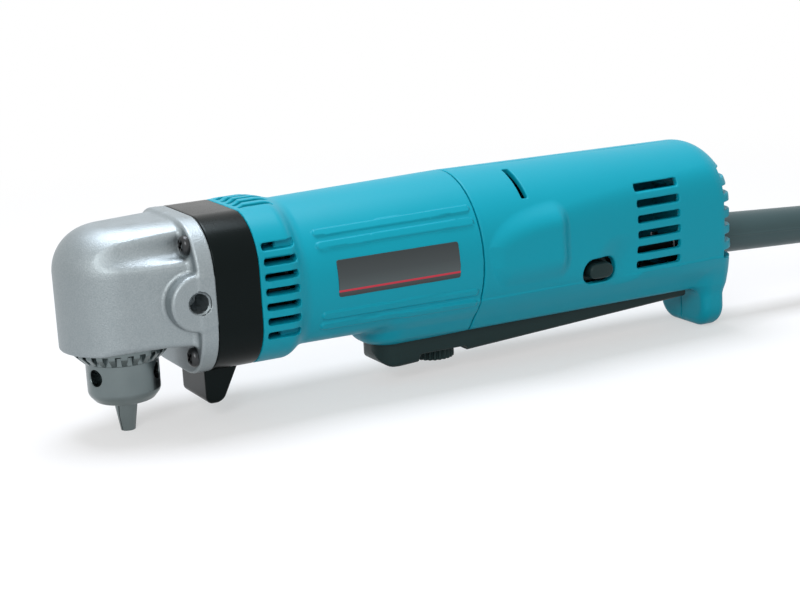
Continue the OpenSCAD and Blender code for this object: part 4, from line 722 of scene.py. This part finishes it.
def ringField(x, y, z):
    s = ring
    band = roundMax(flangeOutline(y, z), between(x, flangeRear + s["frontGap"], s["rear"]), s["edge"])
    x0, z0, x1, z1 = s["skidSlope"]
    rearFace = ((x - x0) * (z0 - z1) + (z - z0) * (x1 - x0)) / math.hypot(x1 - x0, z1 - z0)
    skid = roundMax(s["skidFront"] - x, s["skidBottom"] - z, s["skidRound"])
    skid = roundMax(skid, rearFace, s["skidRound"])
    skid = roundMax(np.maximum(skid, z), np.abs(y) - s["skidHalfWidth"], s["skidEdge"])
    solid = roundMin(band, skid, s["skidFillet"])
    axial = np.hypot(y, z)
    solid = np.maximum(solid, -np.maximum(axial - s["boreRadius"], x - s["bulkheadX"]))
    seat = np.maximum(axial - s["seatRadius"], between(x, s["bulkheadX"], s["seatEnd"]))
    solid = np.minimum(solid, seat)
    solid = np.maximum(solid, -np.maximum(axial - s["bearingRadius"], s["seatX"] - x))
    solid = np.maximum(solid, s["shaftRoom"] - axial)
    bush = np.hypot(y, z - head["shaftRise"]) - s["bushRadius"]
    solid = np.maximum(solid, -np.maximum(bush, x - s["seatX"] + s["bushShort"]))
    return np.maximum(solid, head["screwHole"] - fromScrews(y, z))


mould("spacerRing", ringField, 0.6, "blackPlastic", "housing", "black_plastic", "spacer_ring")
print("ring moulded")


# motor housing: square collar, round barrel flattened below, ribs, and a chin over the lever's nose

housing = {
    "collarX": 57.5, "collarEdge": 4.0, "collarFillet": 6.0, "barrelRadius": 28.6, "seamRadius": 30.0,
    "flat": -24.5, "flatRound": 5.0, "seamGap": 0.2, "seamEdge": 0.4, "ribAngles": (39.0, 29.0, -23.0, -32.5),
    "ribHalf": 1.5, "ribHeight": 0.65, "ribStart": 67.0, "ribEnd": 130.0, "ribCorner": 1.4, "ribSoft": 0.6,
    "slotStart": 44.4, "slotLength": 13.0, "slotHalf": 1.3, "slotPitch": 5.3, "slotZ": 1.7, "slots": 7,
    "slotCorner": 1.0, "slotEdge": 0.45, "topSlots": 5, "blindX": 50.6, "blindDepth": 4.8, "slotDepth": 11.0,
    "topDepth": 9.0,
    "chinX": 92.0, "chinNose": 11.0, "chinLow": -31.0, "chinLowX": 112.0, "chinRound": (1.6, 4.0),
    "chinFillet": 2.4, "roomX": 95.4, "roomHalf": 12.1, "roomNose": 10.0, "roomTop": -22.9,
    "boreRadius": 26.0, "boreFlat": 20.5, "chamberRadius": 25.0, "chamberPast": 0.5, "frontGap": 0.1,
    "frontEdge": 0.3, "barrelSink": 8.0, "roomEdge": 0.5, "screwShort": 3.5,
}


# straight skirt under the barrel and the handle, from a crease on the round section down to a flat edge
skirt = {"crease": -16.5, "low": -29.7, "half": 15.0}


def skirtSide(across, z, radius):
    creaseY = np.sqrt(radius ** 2 - skirt["crease"] ** 2)
    run, fall = creaseY - skirt["half"], skirt["crease"] - skirt["low"]
    return (fall * (across - creaseY) - run * (z - skirt["crease"])) / np.hypot(run, fall)


def barrelRadius(x):
    s = housing
    share = (x - s["collarX"]) / (seamX - s["collarX"])
    return s["barrelRadius"] + (s["seamRadius"] - s["barrelRadius"]) * share


def collarSlots(x, y, z):
    # slots along x on both sides and on top; the outer ones are half blind
    s = housing
    halfLength = s["slotLength"] / 2
    middle = s["slotStart"] + halfLength
    far = (s["slots"] - 1) / 2
    row = np.clip(np.round((z - s["slotZ"]) / s["slotPitch"]), -far, far)
    opening = roundRect(x - middle, z - s["slotZ"] - row * s["slotPitch"], halfLength, s["slotHalf"],
                        s["slotCorner"])
    depth = np.where((np.abs(row) == far) & (x > s["blindX"]), s["blindDepth"], s["slotDepth"])
    side = np.maximum(opening, head["halfWidth"] - depth - np.abs(y))
    topFar = (s["topSlots"] - 1) / 2
    column = np.clip(np.round(y / s["slotPitch"]), -topFar, topFar)
    above = roundRect(x - middle, y - column * s["slotPitch"], halfLength, s["slotHalf"], s["slotCorner"])
    return np.minimum(side, np.maximum(above, head["middleZ"] + head["halfHeight"] - s["topDepth"] - z))


def housingField(x, y, z):
    s = housing
    axial = np.hypot(y, z)
    collar = roundMax(flangeOutline(y, z), x - s["collarX"], s["collarEdge"])
    collar = roundMax(collar, ring["rear"] + s["frontGap"] - x, s["frontEdge"])
    angle = np.degrees(np.arctan2(z, np.abs(y)))
    raised = 0
    for ribAngle in s["ribAngles"]:
        around = np.radians(angle - ribAngle) * axial
        strip = roundRect(x - (s["ribStart"] + s["ribEnd"]) / 2, around, (s["ribEnd"] - s["ribStart"]) / 2,
                          s["ribHalf"], s["ribCorner"])
        raised = np.maximum(raised, s["ribHeight"] * ease(0.5 - strip / s["ribSoft"]))
    barrel = roundMax(axial - barrelRadius(x) - raised, s["flat"] - z, s["flatRound"])
    barrel = np.maximum(barrel, s["collarX"] - s["barrelSink"] - x)
    solid = roundMin(collar, barrel, s["collarFillet"])
    toSeam = np.clip((seamX - x) / (seamX - s["chinLowX"]), 0, 1)
    lowest = skirt["low"] + (s["chinLow"] - skirt["low"]) * toSeam
    chin = roundMax(s["chinX"] - x, skirtSide(np.abs(y), z, barrelRadius(x)), s["chinNose"])
    chin = roundMax(chin, lowest - z, s["chinRound"][0] + (s["chinRound"][1] - s["chinRound"][0]) * toSeam)
    solid = roundMin(solid, np.maximum(chin, z - skirt["crease"]), s["chinFillet"])
    solid = roundMax(solid, x - seamX + s["seamGap"], s["seamEdge"])
    room = roundMax(s["roomX"] - x, np.abs(y) - s["roomHalf"], s["roomNose"])
    solid = cutFrom(solid, np.maximum(room, z - s["roomTop"]), s["roomEdge"])
    bore = np.maximum(np.maximum(axial - s["boreRadius"], np.abs(z) - s["boreFlat"]), s["collarX"] - x)
    chamber = np.maximum(axial - s["chamberRadius"], x - s["collarX"] - s["chamberPast"])
    solid = np.maximum(solid, -np.minimum(bore, chamber))
    solid = cutFrom(solid, collarSlots(x, y, z), s["slotEdge"])
    screwEnd = x - s["collarX"] + s["screwShort"]
    return np.maximum(solid, -np.maximum(fromScrews(y, z) - head["screwHole"], screwEnd))


mould("motorHousing", housingField, 0.7, "tealPlastic", "housing", "teal_plastic", "motor_housing")
print("motor housing moulded")


# rating plate, bare but for a printed red line on a grey with painted shade that darkens upward

plate = {
    "middleX": 97.5, "middleZ": 1.8, "halfLength": 24.4, "halfHeight": 6.7, "corner": 0.9, "edge": 0.12,
    "proud": 0.25, "depth": 0.5, "room": (0.6, 0.3, 0.6),
    # the grey stops are painted shade: dark at the lower edge, lightest just above the red line, darker
    # upward; the red stops are the printed line
    "shadeAndLineStops": ((0.0, (0.03, 0.036, 0.037)), (0.135, (0.05, 0.06, 0.062)), (0.14, (0.62, 0.02, 0.05)),
              (0.19, (0.62, 0.02, 0.05)), (0.195, (0.08, 0.1, 0.102)), (0.55, (0.05, 0.062, 0.065)),
              (1.0, (0.028, 0.036, 0.038))),
}


def plateField(x, y, z):
    s = plate
    over = np.hypot(y, z) - barrelRadius(x)
    outline = roundRect(x - s["middleX"], z - s["middleZ"], s["halfLength"], s["halfHeight"], s["corner"])
    return np.maximum(roundMax(outline, over - s["proud"], s["edge"]), -s["depth"] - over)


def makePlate():
    s = plate
    base = (toolOrigin[2] + s["middleZ"] - s["halfHeight"]) * mm
    paintPlateShadeAndLine(finishes["plateFoil"], base, 2 * s["halfHeight"] * mm, s["shadeAndLineStops"])
    mould("ratingPlate", plateField, 0.3, "plateFoil", "housing", "plate_metal", "rating_plate",
          s["room"][0], np.array(s["room"]))


makePlate()
print("plate laid")


# handle: two shells that part at y = 0, with a blister, slit, vents, button recess and foot

handle = {
    "wall": 2.6, "wallEdge": 0.4, "radius": 30.0, "topFall": 1.5, "deep": 15.0,
    "widths": ((132.0, 30.0), (190.0, 27.0), (249.5, 25.0)),
    "leastMelt": 0.2, "sideMelt": 6.0, "creaseMelt": 1.4, "skirtRound": 1.6, "skirtFall": 1.1,
    "tailRounds": ((-24.0, 3.5), (-10.0, 9.0), (8.0, 9.0), (20.0, 13.0)),
    "seamGap": 0.2, "seamEdge": 0.4, "partGap": 0.05, "partEdge": 0.3,
    "rearFall": 0.6, "rearFrom": -12.5, "rearTo": -19.0,
    "footX": 239.0, "footHalf": 16.4, "footTop": -14.0, "footSole": 9.0, "footEdge": 3.5, "footFillet": 6.0,
    "blisterX": (134.0, 168.0), "blisterZ": 2.3, "blisterHalf": 12.5, "blisterFace": (30.6, 32.0),
    "blisterNose": 10.0, "blisterRound": 7.0, "blisterEnd": 4.0, "blisterFillet": 3.0, "blisterBlunt": 0.0025,
    "slitX": 154.3, "slitHalf": 1.3, "slitAngle": 57.0, "slitHalfLength": 8.5, "slitCorner": 0.5,
    "slitEdge": 0.4,
    "ventX": 212.0, "ventHalfLength": 10.0, "ventHalf": 1.5, "ventPitch": 6.0, "ventZ": 1.8, "vents": 6,
    "ventCorner": 0.9, "ventEdge": 0.5, "ventIn": 17.0,
    "slotHalf": 12.1, "slotTop": -24.5, "slotEnd": 238.0, "slotRound": 5.0, "slotFloor": 5.0, "slotEdge": 0.5,
    "buttonX": 184.5, "buttonZ": -12.4, "padHalfLength": 9.8, "padHalf": 7.0, "padFloor": 20.6,
    "recessHalfLength": 8.0, "recessHalf": 4.9, "recessEdge": 0.9,
    "scoopX": 195.0, "scoopRadius": 16.0, "scoopY": 40.0, "scoopEdge": 3.0,
    "gillZ": 17.0, "gillPitch": 6.4, "gillHalf": 1.55, "gills": 6, "gillDepth": 6.3, "gillEdge": 0.35,
    "tailDeep": 8.0, "tailLow": -19.0, "guardHole": 6.5, "guardClear": 11.6, "guardZ": -12.0,
    "screws": ((139.5, 21.5), (194.0, 23.5), (236.0, 14.5), (243.75, -35.8)), "bossRadius": 4.4,
    "bossIn": 0.3, "screwRadius": 1.62, "screwEnd": -10.0, "headRadius": 3.2, "headSeat": 8.5,
    "pin": (229.5, -25.5), "pinBoss": 4.0, "pinRadius": 1.77,
}


def rearOf(z):  # the tail's rear face, which steps in below the gills
    s = handle
    return tailX - s["rearFall"] * ease((s["rearFrom"] - z) / (s["rearFrom"] - s["rearTo"]))


def handleForm(x, y, z):
    # a round section that sinks and narrows to the tail, a straight skirt below it, and the tail rounded over
    s = handle
    across = np.abs(y)
    share = np.clip((x - seamX) / (tailX - seamX), 0, 1)
    lifted = np.where(z > 0, z * s["radius"] / (s["radius"] - s["topFall"] * share), z)
    stations, widths = zip(*s["widths"])
    form = smoothMax(np.hypot(y, lifted) - s["radius"], across - np.interp(x, stations, widths),
                     s["leastMelt"] + s["sideMelt"] * share)
    below = skirtSide(across, z, s["radius"] - s["skirtFall"] * share ** 3)
    below = roundMax(np.maximum(below, z - skirt["crease"]), skirt["low"] - z, s["skirtRound"])
    tailRound = np.interp(z, *zip(*s["tailRounds"]))
    return roundMax(smoothMin(form, below, s["creaseMelt"]), x - rearOf(z), tailRound)


def handleFoot(x, y, z):
    s = handle
    foot = roundMax(np.abs(y) - s["footHalf"], floorZ - z, s["footSole"])
    return np.maximum(roundMax(foot, between(x, s["footX"], rearOf(z)), s["footEdge"]), z - s["footTop"])


def handleBlister(x, y, z):
    # a flat sided swelling, pointed at the front and blunt behind
    s = handle
    low, high = s["blisterX"]
    share = np.clip((x - low) / (high - low), 0, 1)
    nose = np.clip((x - low) / s["blisterNose"], 0, 1)
    above, below = (s["blisterHalf"] * np.sqrt(np.maximum(1 - (1 - part) ** 2, s["blisterBlunt"]))
                    for part in (share, nose))
    outline = np.maximum(z - s["blisterZ"] - above, s["blisterZ"] - below - z)
    face = np.abs(y) - s["blisterFace"][0] - (s["blisterFace"][1] - s["blisterFace"][0]) * share
    body = roundMax(np.maximum(outline, low - x), face, s["blisterRound"])
    return np.maximum(roundMax(body, x - high, s["blisterEnd"]), s["deep"] - np.abs(y))


def handleCuts(x, y, z):
    # the vents on both sides, then the gills across the tail
    s = handle
    far = (s["vents"] - 1) / 2
    row = np.clip(np.round((z - s["ventZ"]) / s["ventPitch"] + far), 0, s["vents"] - 1) - far
    vent = roundRect(x - s["ventX"], z - s["ventZ"] - row * s["ventPitch"], s["ventHalfLength"],
                     s["ventHalf"], s["ventCorner"])
    vent = np.maximum(vent, s["ventIn"] - np.abs(y))
    gill = np.clip(np.round((s["gillZ"] - z) / s["gillPitch"]), 0, s["gills"] - 1)
    gap = np.abs(z - s["gillZ"] + gill * s["gillPitch"]) - s["gillHalf"]
    gap = np.maximum(gap, tailX - s["gillDepth"] - x)
    return vent, np.maximum(gap, s["guardClear"] - np.hypot(y, z - s["guardZ"]))


def handleField(side):
    s = handle

    def field(x, y, z):
        across = np.abs(y)
        form = handleForm(x, y, z)
        outer = roundMin(form, handleBlister(x, y, z), s["blisterFillet"])
        outer = roundMin(outer, handleFoot(x, y, z), s["footFillet"])
        if side < 0:
            away = (x - s["scoopX"]) ** 2 + (across - s["scoopY"]) ** 2 + (z - s["buttonZ"]) ** 2
            scoop = s["scoopRadius"] - np.sqrt(away)
            outer, form = (roundMax(part, scoop, s["scoopEdge"]) for part in (outer, form))
        shell = roundMax(outer, -form - s["wall"], s["wallEdge"])
        tail = np.maximum(np.maximum(outer, tailX - s["tailDeep"] - x), s["tailLow"] - z)
        shell = np.minimum(shell, tail)
        screws = [np.hypot(x - sx, z - sz) for sx, sz in s["screws"]]
        for away in screws:
            shell = np.minimum(shell, np.maximum(away - s["bossRadius"], outer + s["bossIn"]))
        fromPin = np.hypot(x - s["pin"][0], z - s["pin"][1])
        pinBoss = np.maximum(fromPin - s["pinBoss"], outer + s["bossIn"])
        shell = np.minimum(shell, np.maximum(pinBoss, s["slotHalf"] - across))
        slot = np.maximum(across - s["slotHalf"], x - s["slotEnd"])
        slot = roundMax(slot, z - s["slotTop"], s["slotRound"])
        shell = cutFrom(shell, np.maximum(slot, floorZ + s["slotFloor"] - z), s["slotEdge"])
        vents, gills = handleCuts(x, y, z)
        shell = cutFrom(cutFrom(shell, vents, s["ventEdge"]), gills, s["gillEdge"])
        guardHole = np.hypot(y, z - s["guardZ"]) - s["guardHole"]
        shell = np.maximum(shell, -np.maximum(guardHole, tailX - s["tailDeep"] - x))
        shell = np.maximum(shell, -np.maximum(fromPin - s["pinRadius"], across - s["deep"]))
        for away in screws:
            shell = np.maximum(shell, -np.maximum(away - s["screwRadius"], s["screwEnd"] - y))
            shell = np.maximum(shell, -np.maximum(away - s["headRadius"], s["headSeat"] - y))
        if side < 0:
            dx, dz = x - s["buttonX"], z - s["buttonZ"]
            pad = roundRect(dx, dz, s["padHalfLength"], s["padHalf"], s["padHalf"])
            pad = np.maximum(np.maximum(pad, outer + s["bossIn"]), s["padFloor"] - across)
            recess = roundRect(dx, dz, s["recessHalfLength"], s["recessHalf"], s["recessHalf"])
            shell = cutFrom(np.minimum(shell, pad), np.maximum(recess, s["deep"] - across), s["recessEdge"])
            turn = np.radians(s["slitAngle"])
            around = z * np.cos(turn) - across * np.sin(turn)
            slit = roundRect(x - s["slitX"], around, s["slitHalf"], s["slitHalfLength"], s["slitCorner"])
            shell = cutFrom(shell, np.maximum(slit, s["deep"] - z), s["slitEdge"])
        shell = roundMax(shell, seamX + s["seamGap"] - x, s["seamEdge"])
        return roundMax(shell, s["partGap"] - side * y, s["partEdge"])
    return field


mould("handleFar", handleField(1), 0.62, "tealPlastic", "housing", "teal_plastic", "handle_left")
mould("handleNear", handleField(-1), 0.62, "tealPlastic", "housing", "teal_plastic", "handle_right")
print("handle shells moulded")


# paddle lever under the handle, with the speed dial at its front

lever = {
    "front": 96.6, "nose": 7.0, "noseSide": 9.5, "noseLow": (99.5, -40.2), "tailLow": (229.5, -33.2),
    "halfWidth": 11.4, "edge": 2.0, "topZ": -23.4, "travel": 2.6, "pivot": (229.5, -25.5), "hub": 4.0,
    "pinRoom": 1.85, "wall": 2.2, "pocket": (133.0, 221.5), "dialX": 124.0, "dialRoom": 8.4, "dialRise": 2.5,
    "stemRoom": 2.6, "notch": (112.6, 133.2), "notchCorner": 1.5, "notchEdge": 0.5, "dialEdge": 0.4,
    "topEdge": 0.6, "pocketEdge": 0.6,
}
dial = {"radius": 8.0, "height": 4.5, "edge": 0.6, "grooves": 24, "grooveDepth": 0.75, "stem": 2.5,
        "dish": 5.2, "dishDepth": 0.5, "dishEdge": 0.3, "grooveSharp": 1.5, "stemSink": 1.0}


def leverFloor(x):
    (x0, z0), (x1, z1) = lever["noseLow"], lever["tailLow"]
    return z1 + (z0 - z1) * (x1 - x) / (x1 - x0)


def leverField(x, y, z):
    s = lever
    px, pz = s["pivot"]
    floor = leverFloor(x)
    top = s["topZ"] - (px - x) * math.sin(math.radians(s["travel"]))
    plan = roundMax(s["front"] - x, np.abs(y) - s["halfWidth"], s["noseSide"])
    solid = np.maximum(roundMax(plan, floor - z, s["edge"]), roundMax(s["front"] - x, floor - z, s["nose"]))
    solid = roundMax(solid, z - np.minimum(top, pz), s["topEdge"])
    solid = np.maximum(solid, x - px - s["hub"])
    fromPin = np.hypot(x - px, z - pz)
    solid = np.minimum(solid, np.maximum(fromPin - s["hub"], np.abs(y) - s["halfWidth"]))
    solid = np.maximum(solid, s["pinRoom"] - fromPin)
    low, high = s["pocket"]
    pocket = np.maximum(between(x, low, high), np.abs(y) - s["halfWidth"] + s["wall"])
    solid = cutFrom(solid, np.maximum(pocket, floor + s["wall"] - z), s["pocketEdge"])
    away = np.hypot(x - s["dialX"], y)
    ceiling = leverFloor(s["dialX"]) + s["dialRise"]
    solid = cutFrom(solid, np.maximum(away - s["dialRoom"], z - ceiling), s["dialEdge"])
    notch = roundMax(between(x, *s["notch"]), z - ceiling, s["notchCorner"])
    solid = cutFrom(solid, notch, s["notchEdge"])
    return np.maximum(solid, s["stemRoom"] - away)


def dialField(x, y, z):
    # a wheel with a scalloped rim and a dished face, on a short stem
    s = dial
    low, high = spanOf("speed_dial")
    along = x - lever["dialX"]
    axial, turn = np.hypot(along, y), np.arctan2(y, along)
    rim = s["radius"] - s["grooveDepth"] * (0.5 + 0.5 * np.cos(s["grooves"] * turn)) ** s["grooveSharp"]
    wheel = roundMax(axial - rim, between(z, low[2], low[2] + s["height"]), s["edge"])
    wheel = cutFrom(wheel, np.maximum(axial - s["dish"], z - low[2] - s["dishDepth"]), s["dishEdge"])
    stem = between(z, low[2] + s["height"] - s["stemSink"], high[2])
    return np.minimum(wheel, np.maximum(axial - s["stem"], stem))


mould("paddleLever", leverField, 0.6, "leverPlastic", "paddle", "black_plastic", "lever")
mould("speedDial", dialField, 0.3, "leverPlastic", "dial", "black_plastic", "speed_dial")
print("lever and dial moulded")


# lock button: a pill with a crowned face, on a flange and a stem

button = {"halfLength": 5.3, "half": 3.0, "crown": 0.9, "edge": 1.1, "proud": 1.2, "flange": 1.5,
          "flangeThick": 1.5, "flangeEdge": 0.2, "shoulder": -20.4, "stem": 1.8, "room": 2.0}


def buttonField(x, y, z):
    s = button
    low, high = spanOf("lock_button")
    dx, dz = x - handle["buttonX"], z - handle["buttonZ"]
    pill = roundRect(dx, dz, s["halfLength"], s["half"], s["half"])
    face = low[1] - s["proud"] + s["crown"] * ((dx / s["halfLength"]) ** 2 + (dz / s["half"]) ** 2) / 2
    cap = np.maximum(roundMax(pill, face - y, s["edge"]), y - s["shoulder"])
    foot = between(y, s["shoulder"], s["shoulder"] + s["flangeThick"])
    foot = roundMax(pill - s["flange"], foot, s["flangeEdge"])
    stem = np.maximum(np.hypot(dx, dz) - s["stem"], between(y, s["shoulder"], high[1]))
    return np.minimum(np.minimum(cap, foot), stem)


mould("lockButton", buttonField, 0.3, "leverPlastic", "lock", "black_plastic", "lock_button", button["room"])
print("button moulded")


# studio: pale floor, overhead softbox, fill light

studio = {
    "floorSize": 8.0, "floorRough": 0.9, "floorColour": (0.9, 0.9, 0.9), "bounceColour": (0.5, 0.5, 0.5),
    "whiteFrom": 0.22, "whiteTo": 0.6, "whiteLeast": 0.5, "world": 0.42, "topColour": (0.89, 0.92, 1.0),
    "top": (0.0, 0.18, 1.02, 0.5, 8.5), "front": (-0.7, -0.85, 0.6, 0.42, 5.2), "aim": (0.02, 0, 0.05),
}


def seenShare(tree):  # one for what the camera sees directly, in a reflection or through glass
    ray = addNode(tree, "ShaderNodeLightPath").outputs
    share = ray["Is Camera Ray"]
    for kind in ("Is Glossy Ray", "Is Transmission Ray"):
        share = addNode(tree, "ShaderNodeMath", {0: share, 1: ray[kind]}, operation="MAXIMUM").outputs[0]
    return share


def makeFloor():
    size = studio["floorSize"] / 2
    corners = np.array([[-size, -size, 0], [size, -size, 0], [size, size, 0], [-size, size, 0]])
    floor = newPiece("floor", corners, np.array([[0, 1, 2, 3]]))
    material = bpy.data.materials.new("floorPaper")
    material.use_nodes = True
    tree = material.node_tree
    shader = tree.nodes["Principled BSDF"]
    shader.inputs["Roughness"].default_value = studio["floorRough"]
    paper = addNode(tree, "ShaderNodeMix", {"Factor": seenShare(tree)}, data_type="RGBA")
    paper.inputs["A"].default_value = (*studio["bounceColour"], 1)
    paper.inputs["B"].default_value = (*studio["floorColour"], 1)
    tree.links.new(paper.outputs["Result"], shader.inputs["Base Color"])
    place = addNode(tree, "ShaderNodeTexCoord").outputs["Object"]
    reach = addNode(tree, "ShaderNodeVectorMath", {0: place}, operation="LENGTH")
    limits = {"From Min": studio["whiteFrom"], "From Max": studio["whiteTo"], "To Min": studio["whiteLeast"]}
    fade = addNode(tree, "ShaderNodeMapRange", {"Value": reach.outputs["Value"], **limits},
                   interpolation_type="SMOOTHSTEP").outputs["Result"]
    share = addNode(tree, "ShaderNodeMath", {0: fade, 1: seenShare(tree)}, operation="MULTIPLY").outputs[0]
    white = addNode(tree, "ShaderNodeEmission", {"Color": (1, 1, 1, 1), "Strength": 1.0}).outputs[0]
    blend = addNode(tree, "ShaderNodeMixShader", {0: share, 1: shader.outputs[0], 2: white})
    tree.links.new(blend.outputs[0], tree.nodes["Material Output"].inputs["Surface"])
    floor.data.materials.append(material)


def makeLamp(name, x, y, z, size, power, colour=(1, 1, 1)):
    lamp = bpy.data.objects.new(name, bpy.data.lights.new(name, "AREA"))
    lamp.data.size = size
    lamp.data.energy = power
    lamp.data.color = colour
    lamp.location = (x, y, z)
    lamp.rotation_mode = "QUATERNION"
    lamp.rotation_quaternion = (Vector(studio["aim"]) - Vector((x, y, z))).to_track_quat("-Z", "Y")
    bpy.context.scene.collection.objects.link(lamp)


def makeStudio():
    makeFloor()
    makeLamp("topSoftbox", *studio["top"], studio["topColour"])
    makeLamp("frontFill", *studio["front"])
    world = bpy.data.worlds.new("studio")
    world.use_nodes = True
    tree = world.node_tree
    backdrop = tree.nodes["Background"]
    strength = addNode(tree, "ShaderNodeMapRange", {"Value": seenShare(tree), "To Min": studio["world"],
                                                    "To Max": 1.0})
    backdrop.inputs["Color"].default_value = (1, 1, 1, 1)
    tree.links.new(strength.outputs["Result"], backdrop.inputs["Strength"])
    bpy.context.scene.world = world
    bpy.context.scene.view_settings.view_transform = "Standard"


makeStudio()
print("studio lit")
